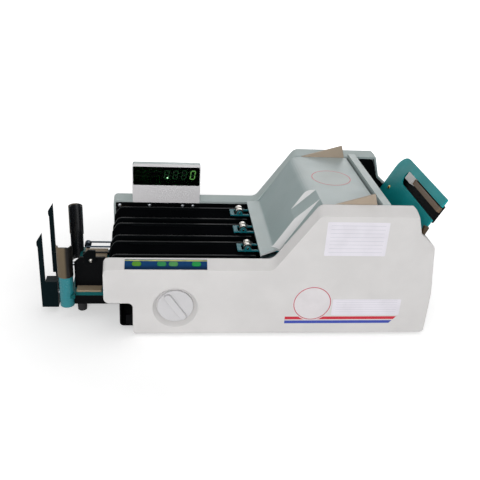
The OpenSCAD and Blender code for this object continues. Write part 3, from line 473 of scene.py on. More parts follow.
@dataclass(frozen=True)
class Rubber(Finish):
    """Matt rubber with a fine tooth and dust; a belt also has cross ribs."""

    smoother: float = 0.1
    rougher: float = 0.0
    tooth: float = 0.00008
    ribs: float = 0.0
    rib_pitch: float = 0.002
    dust: float = 0.22
    dust_tint: Rgb = srgb(90, 90, 92)

    def paint(self, graph: Graph) -> None:
        """Dull the tops with dust and raise the tooth, with a rib at each pitch where asked.

        Args:
            graph: The material's nodes.
        """
        grain = graph.effect(Effect.GRAIN, Scale=900.0)
        settled = graph.times(graph.effect(Effect.DUST, Scale=120.0)["Mask"], self.dust)
        body = graph.mix(graph.ramp(grain["Mottle"]), self.tint, shade(self.tint, gain=1.5))
        height = grain["Height"]
        if self.ribs:
            turns = graph.times(graph.split(graph.place())["X"], 2.0 * math.pi / self.rib_pitch)
            wave = graph.times(graph.math("SINE", turns), self.ribs)
            height = graph.math("ADD", wave, height)
        graph.feed(Base_Color=graph.mix(settled, body, self.dust_tint),
                   Roughness=self.rough(graph, grain["Mottle"]),
                   Normal=graph.bump(height, self.tooth))


@dataclass(frozen=True)
class DarkFilter(Finish):
    """Smoked display filter: clear through, with wiped patches on its gloss."""

    smoother: float = 0.0
    marks: float = 60.0
    ripple: float = 0.00003

    def paint(self, graph: Graph) -> None:
        """Let light through the dark tint and leave faint wipe marks.

        Args:
            graph: The material's nodes.
        """
        waves = graph.noise(scale=60.0, detail=2.0)
        graph.feed(Base_Color=self.tint, Transmission_Weight=1.0, Roughness=self.handled(graph),
                   Normal=graph.bump(waves, self.ripple))


@dataclass(frozen=True)
class SolderMask(Finish):
    """Circuit board: a green mask over raised tracks."""

    smoother: float = 0.0
    rougher: float = 0.1
    relief: float = 0.00004

    def paint(self, graph: Graph) -> None:
        """Lay square tracks under the mask as a lighter, raised pattern.

        Args:
            graph: The material's nodes.
        """
        inputs = {"Vector": graph.place(), "Scale": 330.0, "Mortar Size": 0.028,
                  "Mortar": (1, 1, 1), "Color1": (0, 0, 0), "Color2": (0, 0, 0)}
        tracks = graph.add("TexBrick", inputs).outputs["Color"]
        graph.feed(Base_Color=graph.mix(tracks, self.tint, shade(self.tint, gain=1.8)),
                   Roughness=self.rough(graph, graph.noise(scale=90.0)),
                   Normal=graph.bump(tracks, self.relief))


@dataclass(frozen=True)
class PrintedFilm(Finish):
    """Printed film on the sloping rim: blue with painted shade downhill, and one pale rule uphill.
    """

    rougher: float = 0.1
    marks: float = 90.0
    uphill: Point = (0.0, 1.0, 0.0)
    foot: float = 0.0
    reach: float = 0.014
    rule: Rgb = (0.5, 0.55, 0.2)
    relief: float = 0.00001

    def paint(self, graph: Graph) -> None:
        """Colour by the share of the slope, the point's product with uphill less the foot.

        Args:
            graph: The material's nodes.
        """
        product = graph.vector("DOT_PRODUCT", graph.place(), self.uphill)["Value"]
        up = graph.math("DIVIDE", graph.math("SUBTRACT", product, self.foot), self.reach)
        # painted shade: the blue darkens towards the foot of the slope
        full = graph.ramp(up, low=0.0, high=0.55)
        shaded_blue = graph.mix(full, shade(self.tint, gain=0.3), self.tint)
        thin = graph.ramp(graph.noise(scale=90.0), high=0.6, first=0.55)
        line = graph.times(graph.between(up, low=0.83, high=0.95), thin)
        graph.feed(Base_Color=graph.mix(line, shaded_blue, self.rule), Roughness=self.handled(graph),
                   Normal=graph.bump(graph.noise(scale=1500.0), self.relief))


@dataclass(frozen=True)
class Ink(Finish):
    """Screen-printed ink, thin enough for the moulding's grain to show through."""

    relief: float = 0.00002

    def paint(self, graph: Graph) -> None:
        """Break the colour slightly where the ink is thin.

        Args:
            graph: The material's nodes.
        """
        grain = graph.effect(Effect.GRAIN, Scale=1500.0)
        patches = graph.noise(scale=240.0, detail=6.0)
        thin = graph.ramp(patches, low=0.55, high=0.75, last=0.3)
        graph.feed(Base_Color=graph.mix(thin, self.tint, shade(self.tint, gain=1.5)),
                   Roughness=self.rough(graph, grain["Mottle"]),
                   Normal=graph.bump(grain["Height"], self.relief))


@dataclass(frozen=True)
class LabelStock(Finish):
    """Blank paper, a little yellowed, with faint lines where it has margins to rule between."""

    ink: Rgb = (0.42, 0.44, 0.5)
    ink_share: float = 0.55
    line_share: float = 0.09
    relief: float = 0.00002
    base_z: float = 0.0
    pitch: float = 0.005
    left: float = 0.0
    right: float = 0.0

    def paint(self, graph: Graph) -> None:
        """Rule a line where the height's remainder by the pitch is small, within the margins.

        Args:
            graph: The material's nodes.
        """
        point = graph.split(graph.place())
        steps = graph.math("DIVIDE", graph.math("SUBTRACT", point["Z"], self.base_z), self.pitch)
        line = graph.math("LESS_THAN", graph.math("FRACT", steps), self.line_share)
        inside = graph.between(point["X"], self.left, self.right)
        drawn = graph.times(graph.times(line, inside), self.ink_share)
        age = graph.ramp(graph.noise(scale=40.0, detail=5.0), low=0.35)
        paper = graph.mix(age, self.tint, shade(self.tint, gain=0.93))
        fibres = graph.noise(scale=2200.0, detail=4.0)
        graph.feed(Base_Color=graph.mix(drawn, paper, self.ink),
                   Roughness=self.rough(graph, fibres), Normal=graph.bump(fibres, self.relief))


@dataclass(frozen=True)
class Lamp(Finish):
    """Diffused light of a display segment, a little uneven along its length."""

    smoother: float = 0.0
    rougher: float = 0.1
    strength: float = 1.0

    def paint(self, graph: Graph) -> None:
        """Glow with the tint, dimmer in patches.

        Args:
            graph: The material's nodes.
        """
        patches = graph.ramp(graph.noise(scale=500.0))
        glow = graph.mix(patches, shade(self.tint, gain=0.8), self.tint)
        graph.feed(Base_Color=graph.mix(0.5, shade(self.tint, gain=0.1), glow),
                   Roughness=self.rough(graph, graph.noise(scale=700.0)), Emission_Color=glow,
                   Emission_Strength=self.strength)


@dataclass
class Shape:
    """Points and faces of closed surfaces, in metres or in a local frame."""

    points: np.ndarray
    faces: list[np.ndarray]


def gathered(shapes: list[Shape]) -> Shape:
    """Put shapes one behind the other into one.

    Args:
        shapes: The shapes, in their order.

    Returns:
        One shape, each face's numbers moved on by the points before it.
    """
    starts = np.cumsum([0] + [len(shape.points) for shape in shapes])
    faces = [block + start for shape, start in zip(shapes, starts) for block in shape.faces]
    return Shape(np.vstack([shape.points for shape in shapes]), faces)


@dataclass(frozen=True)
class Placement:
    """A local frame: u and v lie in the carrying face, w points out of it."""

    origin: np.ndarray
    u: np.ndarray
    v: np.ndarray

    def put(self, shape: Shape) -> Shape:
        """Carry a shape from local millimetres to metres: origin + u U + v V + w (U x V)."""
        axes = np.stack([self.u, self.v, np.cross(self.u, self.v)])
        return Shape(self.origin + shape.points @ axes * MM, shape.faces)


def grid_quads(rows: int, columns: int, strips: int, steps: int) -> np.ndarray:
    """Join a grid's corners by quads of (i, j), (i, j+1), (i+1, j+1) and (i+1, j).

    Args:
        rows: Rows of corners.
        columns: Corners in a row.
        strips: Strips of quads; as many as the rows joins the last row to the first.
        steps: Quads in a strip; as many as the columns closes each row on itself.

    Returns:
        The corners' numbers, one quad to a line.
    """
    i, j = np.meshgrid(np.arange(strips), np.arange(steps), indexing="ij")
    k, m = (j + 1) % columns, (i + 1) % rows
    corners = [i * columns + j, i * columns + k, m * columns + k, m * columns + j]
    return np.stack(corners, axis=-1).reshape(-1, 4)


def closed_skin(rings: np.ndarray, hollow: bool = False) -> Shape:
    """Skin a stack of rings and close both ends, or join the last ring to the first.

    Corner (i, j) of the grid is point j of ring i, and the first and last rings are faces of
    their own. The faces are turned outward by the sign of the volume, the sum of a . (b x c) / 6
    over a fan of each face.

    Args:
        rings: Array of rings, points and coordinates.
        hollow: Whether the last ring joins the first.

    Returns:
        The closed surface.
    """
    rows, count, _ = rings.shape
    points = rings.reshape(-1, 3)
    ends = np.stack([np.arange(count)[::-1], (rows - 1) * count + np.arange(count)])
    faces = [grid_quads(rows, count, rows - (not hollow), count)] + [ends] * (not hollow)
    volume = 0.0
    for block in faces:
        a, b, c = points[block[:, :1]], points[block[:, 1:-1]], points[block[:, 2:]]
        volume += float(np.sum(np.broadcast_to(a, b.shape) * np.cross(b, c)))
    return Shape(points, faces if volume > 0 else [block[:, ::-1] for block in faces])


def circle(count: int) -> np.ndarray:
    """Give the cosines and the sines of so many even angles once round."""
    t = np.linspace(0.0, 2.0 * np.pi, count, endpoint=False)
    return np.stack([np.cos(t), np.sin(t)])


def lathe(rows: list[list[float]], count: int = 32, hollow: bool = False) -> Shape:
    """Turn a profile about w: point (r, w) at angle t becomes (r cos t, r sin t, w).

    Args:
        rows: Radius and height of each point, from the foot to the crown.
        count: Points on each ring.
        hollow: Whether the profile is a loop that goes round an open middle.

    Returns:
        The closed turned surface.
    """
    profile, (cos, sin) = np.array(rows), circle(count)
    r, w = profile[:, :1], np.broadcast_to(profile[:, 1:], (len(profile), count))
    return closed_skin(np.stack([r * cos, r * sin, w], axis=-1), hollow)


def drawn_in(outline: np.ndarray, d: float) -> np.ndarray:
    """Draw an outline in: each corner moves along the mitre of its edges' inward normals.

    Args:
        outline: Anticlockwise corners as rows of u and v.
        d: Distance between the old edges and the new.

    Returns:
        The inner outline.
    """
    edge = np.roll(outline, -1, axis=0) - outline
    unit = edge / np.linalg.norm(edge, axis=1, keepdims=True)
    after = np.stack([-unit[:, 1], unit[:, 0]], axis=1)
    before = np.roll(after, 1, axis=0)
    return outline + d * (before + after) / (1.0 + np.sum(before * after, axis=1, keepdims=True))


def plate(outline: np.ndarray, foot: float, top: float, bevel: float, steps: int = 2) -> Shape:
    """Raise an outline into a plate with a rounded upper edge.

    Each ring of the edge is the outline drawn in by bevel (1 - cos a) at height
    top - bevel (1 - sin a), with a going from 0 to a right angle.

    Args:
        outline: Anticlockwise corners as rows of u and v.
        foot: Height of the underside.
        top: Height of the upper face.
        bevel: Radius of the upper edge.
        steps: Rings on the rounded edge.

    Returns:
        The closed plate.
    """
    angles = np.linspace(0.0, np.pi / 2.0, steps)
    rims = [outline, *(drawn_in(outline, bevel * (1.0 - math.cos(a))) for a in angles)]
    heights = [foot, *(top - bevel * (1.0 - np.sin(angles)))]
    rings = [np.column_stack([rim, np.full(len(rim), h)]) for rim, h in zip(rims, heights)]
    return closed_skin(np.stack(rings))


def film(outline: np.ndarray, thickness: float, bevel: float = 0.05) -> Shape:
    """Lay a thin print or label, a plate seated a little into the face that carries it."""
    return plate(outline, -SEAT, thickness, bevel)


def rounded_box(width: float, height: float, radius: float, steps: int = 6) -> np.ndarray:
    """Outline a rectangle about the origin with quarter-circle corners.

    Args:
        width: Size along u.
        height: Size along v.
        radius: Radius of the corners.
        steps: Points on each corner.

    Returns:
        Anticlockwise corners: each corner's centre plus the radius times (cos a, sin a).
    """
    quarter = np.linspace(0.0, np.pi / 2.0, steps)
    angles = quarter[None, :] + np.arange(4)[:, None] * np.pi / 2.0
    signs = np.array([[1, 1], [-1, 1], [-1, -1], [1, -1]])
    centres = signs * np.array([width / 2.0 - radius, height / 2.0 - radius])
    arcs = radius * np.stack([np.cos(angles), np.sin(angles)], axis=-1)
    return (centres[:, None, :] + arcs).reshape(-1, 2)


def hoop(inner: float, outer: float, foot: float, top: float, count: int = 64) -> Shape:
    """Turn a flat ring: a rectangle between two radii and two heights, carried once round w."""
    return lathe([[inner, foot], [outer, foot], [outer, top], [inner, top]], count, hollow=True)


def screw_head(radius: float, height: float) -> Shape:
    """Turn a domed screw head with a socket in its crown.

    The dome's points go from the rim inward as radius times cos a and height times sin a; the
    socket is a straight wall and a floor inside the last of them.

    Args:
        radius: Radius of the rim.
        height: Height of the crown.

    Returns:
        The closed head, its foot a little below the face that carries it.
    """
    a = np.linspace(0.15, 1.15, 6)
    dome = np.column_stack([radius * np.cos(a), height * np.sin(a)])
    inner = dome[-1, 0]
    neck = [[radius, -0.1], [radius, 0.1 * height]]
    socket = [[inner * 0.92, 0.45 * height], [inner * 0.2, 0.35 * height]]
    return lathe([*neck, *dome.tolist(), *socket])


# Name, colour and roughness of each finish, then what sets it apart from others of its kind.
CASE = MouldedPlastic("casing_grey", srgb(224, 222, 221), 0.45)
# painted light: faces turned to the front pale, level faces a little paler than the grey-green
HOOD = PaintedLightPlastic(
    "hood_moulding", srgb(166, 184, 184), 0.42, shine=0.35, pale=srgb(236, 236, 236))
# painted shade: the rear cover is a darker, cooler grey except on faces turned to the back
FAR_CASE = PaintedLightPlastic(
    "casing_cool", srgb(184, 196, 195), 0.45, pale=CASE.tint, level=0.0, side=1.0)
# painted light: the housing's front is pale and its other faces a darker grey as painted shade
DISPLAY_CASE = PaintedLightPlastic(
    "display_grey", srgb(176, 190, 190), 0.45, pale=srgb(238, 236, 238), level=0.0)
# painted shade: dark lines along the knob's edges and creases
KNOB = MouldedPlastic(
    "knob_grey", srgb(217, 216, 218), 0.42, edge_light_share=0.9, edge_light_gain=0.4, edge_radius=0.0009)
BEIGE = MouldedPlastic("fin_beige", srgb(180, 164, 146), 0.5, shine=0.2, edge_radius=0.0003)
BLACK_STEEL = Enamel(
    "black_enamel", srgb(10, 11, 13), 0.42, shine=0.05, chips=0.1, gloss=0.02,
    bare=(0.08, 0.1, 0.11))
# painted highlight: bright lines along the rails' edges
BLACK_PLASTIC = MouldedPlastic(
    "black_moulding", srgb(8, 11, 13), 0.36, shine=0.04, grain=0.00002, dust=0.0, edge_light_share=1.0)
TEAL = Enamel("teal_enamel", srgb(14, 164, 168), 0.4, shine=0.25, gloss=0.06)
DARK_TEAL = Enamel("bracket_teal", srgb(18, 108, 118), 0.4, shine=0.15, gloss=0.05)
TRAY_TEAL = Enamel("tray_teal", srgb(6, 92, 94), 0.4, shine=0.15, gloss=0.05)
BRONZE = Enamel("bronze_enamel", srgb(122, 102, 82), 0.42, shine=0.3, gloss=0.1)
DARK_BRONZE = Enamel("clip_bronze", srgb(84, 70, 54), 0.42, shine=0.2, gloss=0.05)
STEEL = TurnedMetal("turned_steel", srgb(178, 181, 186), 0.3)
CHROME = TurnedMetal("roller_chrome", srgb(172, 169, 164), 0.14)
BRASS = TurnedMetal("turned_brass", srgb(190, 160, 90), 0.3)
BLUED = TurnedMetal("blued_steel", srgb(58, 68, 78), 0.32)
RUBBER = Rubber("black_rubber", srgb(26, 26, 28), 0.8)
BELT = Rubber("belt_rubber", srgb(7, 8, 10), 0.6, shine=0.0, ribs=1.2, dust=0.005)
PAD = MouldedPlastic("pad_tan", srgb(158, 140, 114), 0.7, grain=0.00012, grain_scale=700.0)
STOP = MouldedPlastic("stop_black", srgb(6, 22, 26), 0.32, shine=0.06, grain=0.00001, dust=0.01)
WINDOW = DarkFilter("smoked_window", (0.1, 0.2, 0.12), 0.04, shine=0.0)
BOARD = SolderMask("board_green", srgb(20, 70, 40), 0.35)
RESIN = MouldedPlastic("digit_resin", srgb(20, 24, 24), 0.5, dust=0.0)
LIT = Lamp("segment_lit", (0.7, 1.0, 0.4), strength=1.7)
DIM = Lamp("segment_dim", (0.6, 1.0, 0.75), strength=0.1)
STATUS = Lamp("status_glow", (0.9, 1.0, 0.85), strength=12.0)
STRIPE_RED = Ink("stripe_red", srgb(206, 42, 62), 0.4)
STRIPE_BLUE = Ink("stripe_blue", srgb(58, 78, 176), 0.4)
RIM_RED = Ink("rim_red", srgb(196, 92, 104), 0.4)
MARK_WHITE = Ink("mark_white", srgb(214, 214, 210), 0.5)


@dataclass
class Assembly:
    """Base of every sub-assembly; it measures in mm from the casing's front lower left corner."""

    corner: np.ndarray
    nodes: dict[str, bpy.types.Object]

    def at(self, x: float, y: float, z: float) -> np.ndarray:
        """Give a point of the casing in the row frame, in metres."""
        return self.corner + np.array([x, y, z]) * MM

    def face(self, x: float, y: float, z: float, u: np.ndarray = RIGHT,
             v: np.ndarray = UP) -> Placement:
        """Give the frame of a face at a point; it looks to the front unless u and v say other."""
        return Placement(self.at(x, y, z), u, v)

    def dress(self, finish: Finish, *names: str) -> None:
        """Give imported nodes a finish.

        Args:
            finish: What they are dressed in.
            names: The nodes to dress.
        """
        for name in names:
            self.nodes[name].data.materials.clear()
            self.nodes[name].data.materials.append(finish.material())
            LOG.info("node %s in %s", name, finish.name)

    def add(self, name: str, shape: Shape, finish: Finish, slot: str,
            body: Body = Body.MACHINE) -> bpy.types.Object:
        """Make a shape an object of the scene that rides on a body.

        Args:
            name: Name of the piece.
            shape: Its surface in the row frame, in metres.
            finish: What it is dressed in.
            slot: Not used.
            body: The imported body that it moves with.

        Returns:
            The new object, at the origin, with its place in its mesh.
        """
        mesh = bpy.data.meshes.new(name)
        faces = sum((block.tolist() for block in shape.faces), [])
        mesh.from_pydata(shape.points.tolist(), [], faces)
        mesh.shade_smooth()
        mesh.set_sharp_from_angle(angle=SHARP_ANGLE)
        mesh.materials.append(finish.material())
        piece = bpy.data.objects.new(name, mesh)
        bpy.context.scene.collection.objects.link(piece)
        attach(piece, body.value)
        LOG.info("piece %s on %s", name, body.value)
        return piece

    def round_label(self, name: str, face: Placement, radius: float, paper: Rgb,
                    body: Body) -> None:
        """Stick a blank round label with one thin printed rim.

        Args:
            name: Name of the pieces.
            face: The frame at the label's middle.
            radius: Its radius.
            paper: Its colour.
            body: The body that it moves with.
        """
        blank = LabelStock(name + "_paper", paper, roughness=0.45)
        disc = film(radius * circle(count=64).T, thickness=0.16)
        self.add(name, face.put(disc), blank, "casing", body)
        rim = hoop(radius - 2.4, radius - 1.2, foot=0.1, top=0.2)
        self.add(name + "_rim", face.put(rim), RIM_RED, "casing", body)

    def build(self) -> None:
        """Dress the sub-assembly's nodes and add its pieces; each has its own way."""
        raise NotImplementedError


@dataclass
class Casing(Assembly):
    """Side covers, end cover and cross bar, with the printed stripes and the blank labels."""

    stripe_left: float = 232.6
    stripe_height: float = 4.4
    stripe_depth: float = 0.12
    slant: float = 3.8
    stripes: tuple[tuple[str, float, float, Ink], ...] = (
        ("red_stripe", 21.0, 379.4, STRIPE_RED),
        ("blue_stripe", 14.9, 374.2, STRIPE_BLUE),
    )
    labels: tuple[tuple[str, Pair, Pair, int], ...] = (
        ("upper_label", (274.0, 116.0), (353.0, 163.0), 7),
        ("lower_label", (294.0, 27.5), (386.0, 52.0), 4),
    )
    label_tint: Rgb = srgb(238, 235, 243)
    label_margin: float = 5.0
    label_corner: float = 1.5
    label_depth: float = 0.15
    round_at: Point = (267.0, 0.0, 45.6)
    round_radius: float = 26.0
    round_tint: Rgb = srgb(232, 228, 230)

    def stripe(self, name: str, base: float, right: float, finish: Ink) -> None:
        """Print one stripe whose right end leans out by the slant.

        Args:
            name: Name of the piece.
            base: Height of the stripe's lower edge.
            right: Right end of the lower edge.
            finish: The ink.
        """
        length, high = right - self.stripe_left, self.stripe_height
        outline = np.array([[0, 0], [length, 0], [length + self.slant, high], [0, high]], float)
        face = self.face(self.stripe_left, 0.0, base)
        self.add(name, face.put(film(outline, self.stripe_depth)), finish, "casing")

    def label(self, name: str, low: Pair, high: Pair, lines: int) -> None:
        """Stick one blank label, ruled with faint lines.

        Args:
            name: Name of the piece.
            low: Lower left corner on the front face.
            high: Upper right corner on the front face.
            lines: How many rules it has.
        """
        size = np.subtract(high, low)
        x, z = np.add(high, low) / 2.0
        margin = self.label_margin
        left, _, base = self.at(low[0] + margin, 0.0, low[1] + margin)
        right = self.at(high[0] - margin, 0.0, 0.0)[0]
        paper = LabelStock(
            name + "_paper", self.label_tint, roughness=0.5, base_z=float(base),
            left=float(left), right=float(right), pitch=(size[1] - 2 * margin) / lines * MM)
        shape = film(rounded_box(*size, self.label_corner), self.label_depth)
        self.add(name, self.face(x, 0.0, z).put(shape), paper, "casing")

    def build(self) -> None:
        """Dress the covers and print the front."""
        self.dress(CASE, "front_cover", "end_cover")
        self.dress(FAR_CASE, "rear_cover", "cross_bar")
        for stripe in self.stripes:
            self.stripe(*stripe)
        for label in self.labels:
            self.label(*label)
        face = self.face(*self.round_at)
        self.round_label("front_label", face, self.round_radius, self.round_tint, Body.MACHINE)


@dataclass
class Deck(Assembly):
    """Belt deck: rails, belts, shafts, plates, chrome pinch rollers and the wall's screws."""

    screw_xs: tuple[float, ...] = (9.0, 52.7, 101.9, 117.3)
    screw_z: float = 93.5
    screw_size: Pair = (2.7, 1.5)
    wall_y: float = 196.7

    def build(self) -> None:
        """Dress the deck and set turned heads where the wall's screws are."""
        self.dress(BLACK_PLASTIC, "front_rail", "middle_rail", "rear_rail")
        self.dress(BLACK_STEEL, "front_frame", "rear_frame", "deck_plate", "base_tray")
        self.dress(BELT, "deck_belts")
        self.dress(
            STEEL, "belt_drive_shaft", "nose_shaft", "pinch_bar", "note_guide", "wall_screws")
        self.dress(CHROME, "pinch_rollers")
        self.dress(DARK_TEAL, "pinch_brackets")
        self.dress(RUBBER, "feet")
        head = screw_head(*self.screw_size)
        faces = [self.face(x, self.wall_y, self.screw_z) for x in self.screw_xs]
        heads = gathered([face.put(head) for face in faces])
        piece = self.add("wall_screw_heads", heads, STEEL, "steel")
        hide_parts("wall_screws")


@dataclass
class Hood(Assembly):
    """The bent hood on its finned frame, its hinge pin and the blank round label on its top."""

    label_at: Point = (300.3, 111.2, 177.0)
    label_radius: float = 28.0
    label_tint: Rgb = srgb(188, 195, 193)

    def build(self) -> None:
        """Dress the hood, its frame and the pin, and stick the label."""
        self.dress(HOOD, "hood")
        self.dress(BEIGE, "hood_frame")
        self.dress(STEEL, "hinge_pin")
        face = self.face(*self.label_at, RIGHT, BACK)
        self.round_label("hood_label", face, self.label_radius, self.label_tint, Body.HOOD)


@dataclass
class Hopper(Assembly):
    """Hopper plate with its slot, rail and guide, the walls below it and the feed rollers."""

    angle: float = 62.0
    screw_at: Point = (405.2, 168.0, 142.2)
    screw_size: Pair = (3.0, 1.6)

    def build(self) -> None:
        """Dress the hopper and set its brass screw."""
        self.dress(TEAL, "hopper_plate")
        self.dress(BLACK_STEEL, "hopper_wall", "slot_channel")
        self.dress(BRONZE, "slot_rail")
        self.dress(DARK_BRONZE, "hopper_clip")
        self.dress(CASE, "width_guide")
        self.dress(RUBBER, "feed_shaft", "retard_shaft")
        self.dress(STEEL, "fixed_rods")
        tilt = math.radians(self.angle)
        uphill = np.array([math.cos(tilt), 0.0, math.sin(tilt)])
        face = self.face(*self.screw_at, uphill, BACK)
        self.add("hopper_screw", face.put(screw_head(*self.screw_size)), BRASS, "steel")


@dataclass
class Display(Assembly):
    """Display head: housing, smoked window and a board with four slanted seven-segment digits."""

    digits: int = 4
    digit_height: float = 14.2
    digit_width: float = 7.6
    stroke: float = 1.4
    gap: float = 0.25
    slant: float = math.tan(math.radians(8.0))
    pitch: float = 12.6
    right_x: float = 115.7
    middle_z: float = 143.6
    face_y: float = 196.3
    module_z: float = 141.6
    module_width: float = 12.2
    module_height: float = 19.0
    status_x: float = 78.9
    status_z: float = 138.6

    def segments(self) -> tuple[np.ndarray, np.ndarray]:
        """Give the seven segments of one digit.

        Returns:
            Their hexagon outlines, and the middle points that they lie at: top, middle and bottom
            bars first, then the four uprights. A bar is a lozenge-ended strip, an upright the same
            turned by a right angle.
        """
        half = self.stroke / 2.0
        across = self.digit_width / 2.0 - half
        rise = self.digit_height / 4.0 - half / 2.0
        hexagon = np.array([[-1, 0], [-1, -1], [1, -1], [1, 0], [1, 1], [-1, 1]], float)
        tips = np.array([[-1, 0], [0, 0], [0, 0], [1, 0], [0, 0], [0, 0]], float)
        bar = hexagon * [across - half - self.gap, half] + tips * half
        post = hexagon * [rise - half - self.gap, half] + tips * half
        turned = post @ np.array([[0.0, 1.0], [-1.0, 0.0]])
        middles = [[0, 2 * rise], [0, 0], [0, -2 * rise], [across, rise], [-across, rise],
                   [across, -rise], [-across, -rise]]
        return np.stack([bar] * 3 + [turned] * 4), np.array(middles)

    def digit(self, place: int, z: float) -> Placement:
        """Give the frame of a digit's face, counted from the right, at a height."""
        return self.face(self.right_x - place * self.pitch, self.face_y, z)

    def strokes(self, chosen: list[tuple[int, int]]) -> Shape:
        """Build thin plates for the chosen segments.

        Args:
            chosen: Pairs of a digit's place, counted from the right, and a segment.

        Returns:
            All plates in one shape, leaned by the slant.
        """
        outlines, middles = self.segments()
        flat = outlines + middles[:, None, :]
        leaned = np.stack([flat[..., 0] + self.slant * flat[..., 1], flat[..., 1]], axis=-1)
        films = [film(outline, thickness=0.1, bevel=0.03) for outline in leaned]
        return gathered([self.digit(place, self.middle_z).put(films[k]) for place, k in chosen])

    def build(self) -> None:
        """Dress the head, cover the digit modules and light the last digit as a nought."""
        self.dress(DISPLAY_CASE, "display_housing")
        self.dress(WINDOW, "display_window")
        self.dress(BOARD, "display_board", "control_board")
        outline = rounded_box(self.module_width, self.module_height, radius=0.4)
        cover = plate(outline, foot=-0.6, top=-0.01, bevel=0.1)
        faces = [self.digit(place, self.module_z).put(cover) for place in range(self.digits)]
        self.add("digit_faces", gathered(faces), RESIN, "board")
        nought = [(0, k) for k in (0, 2, 3, 4, 5, 6)]
        ghosts = [(0, 1)] + [(place, k) for place in range(1, self.digits) for k in range(7)]
        self.add("lit_segments", self.strokes(nought), LIT, "board")
        self.add("dim_segments", self.strokes(ghosts), DIM, "board")
        bead = lathe([[1.1, -SEAT], [1.1, 0.05], [0.8, 0.1], [0.1, 0.12]], count=20)
        spot = self.face(self.status_x, self.face_y, self.status_z)
        self.add("status_light", spot.put(bead), STATUS, "board")


@dataclass
class KeyStrip(Assembly):
    """Blue key strip on the sloping rim with four rounded keys."""

    rim_width: float = 13.3
    rim_drop: float = 10.5
    rim_top: float = 104.5
    strip_left: float = 26.5
    strip_foot: float = 1.2
    strip_loss: float = 3.6
    strip_tint: Rgb = srgb(18, 62, 108)
    rule_tint: Rgb = srgb(196, 200, 120)
    key_places: tuple[float, ...] = (14.7, 45.5, 60.0, 88.6)
    key_tints: tuple[Rgb, ...] = (
        srgb(84, 146, 44), srgb(44, 134, 80), srgb(78, 146, 84), srgb(30, 148, 72))
    key_row: float = 8.473
    key_length: float = 11.5
    key_width: float = 6.0
    key_foot: float = -3.4
    key_top: float = 1.7
    key_round: float = 0.9

    def build(self) -> None:
        """Print the strip, with painted shade towards its foot, and put a crowned key where each
        plain one is.
        """
        slope = np.array([0.0, self.rim_width, self.rim_drop])
        length = float(np.linalg.norm(slope))
        uphill = slope / length
        foot = self.at(self.strip_left, 0.0, self.rim_top - self.rim_drop)
        self.dress(PrintedFilm(
            "keypad_film", self.strip_tint, 0.3, shine=0.08, rule=self.rule_tint,
            uphill=tuple(uphill.tolist()), foot=float(foot @ uphill) + self.strip_foot * MM,
            reach=(length - self.strip_loss) * MM), "keypad_strip")
        end_radius = self.key_width / 2.0 - 0.01
        outline = rounded_box(self.key_length, self.key_width, end_radius, steps=10)
        crowned = plate(outline, self.key_foot, self.key_top, self.key_round, steps=6)
        face = Placement(foot, RIGHT, uphill)
        for number, (place, tint) in enumerate(zip(self.key_places, self.key_tints), start=1):
            name = f"key_{number}"
            cap = MouldedPlastic(
                f"{name}_silicone", tint, 0.42, shine=0.15, grain=0.00001, dust=0.02)
            self.dress(cap, name)
            shape = Shape(crowned.points + np.array([place, self.key_row, 0.0]), crowned.faces)
            body = Body[f"KEY_{number}"]
            piece = self.add(f"{name}_cap", face.put(shape), cap, "keys", body)
            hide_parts(name)


@dataclass
class Drive(Assembly):
    """Hand knob, shafts, bushes, motor and the inner electrical parts."""

    def build(self) -> None:
        """Dress the drive train."""
        self.dress(KNOB, "hand_knob")
        self.dress(STEEL, "main_shaft", "drive_motor", "motor_pulley", "transformer")
        self.dress(BRASS, "shaft_bushes")
        self.dress(RUBBER, "drive_belt")


@dataclass
class Stacker(Assembly):
    """Open stacker at the left: base, tray and pad, lined guides, back stop, lever and arm."""

    guide_x: float = -51.5
    guide_y: float = 60.0
    guide_bore: float = 9.12
    guide_tint: Rgb = srgb(38, 140, 150)
    sleeve_tint: Rgb = srgb(112, 98, 76)
    pivot_at: Point = (-20.0, 54.7, 77.0)
    pivot_size: Pair = (2.9, 1.8)

    def build(self) -> None:
        """Dress the stacker and cap the lever's pivot."""
        axis_x = float(self.at(self.guide_x, 0, 0)[0])
        self.dress(LinedEnamel(
            "guide_teal", self.guide_tint, 0.3, axis_x=axis_x, axis_y=self.guide_y * MM,
            bore=self.guide_bore * MM), "stack_guides")
        # painted shade: the sleeves darken to near black on the side towards the deck
        self.dress(ShadedEnamel(
            "sleeve_bronze", self.sleeve_tint, 0.4, shine=0.3, gloss=0.1, axis_x=axis_x),
            "guide_sleeves")
        self.dress(TRAY_TEAL, "stack_tray")
        self.dress(PAD, "stack_pad")
        self.dress(BLACK_STEEL, "stacker_base")
        self.dress(STOP, "back_stop")
        self.dress(BLACK_PLASTIC, "stack_lever")
        self.dress(BLUED, "note_arm")
        head = self.face(*self.pivot_at).put(screw_head(*self.pivot_size))
        self.add("lever_pivot", head, CHROME, "chrome", Body.LEVER)


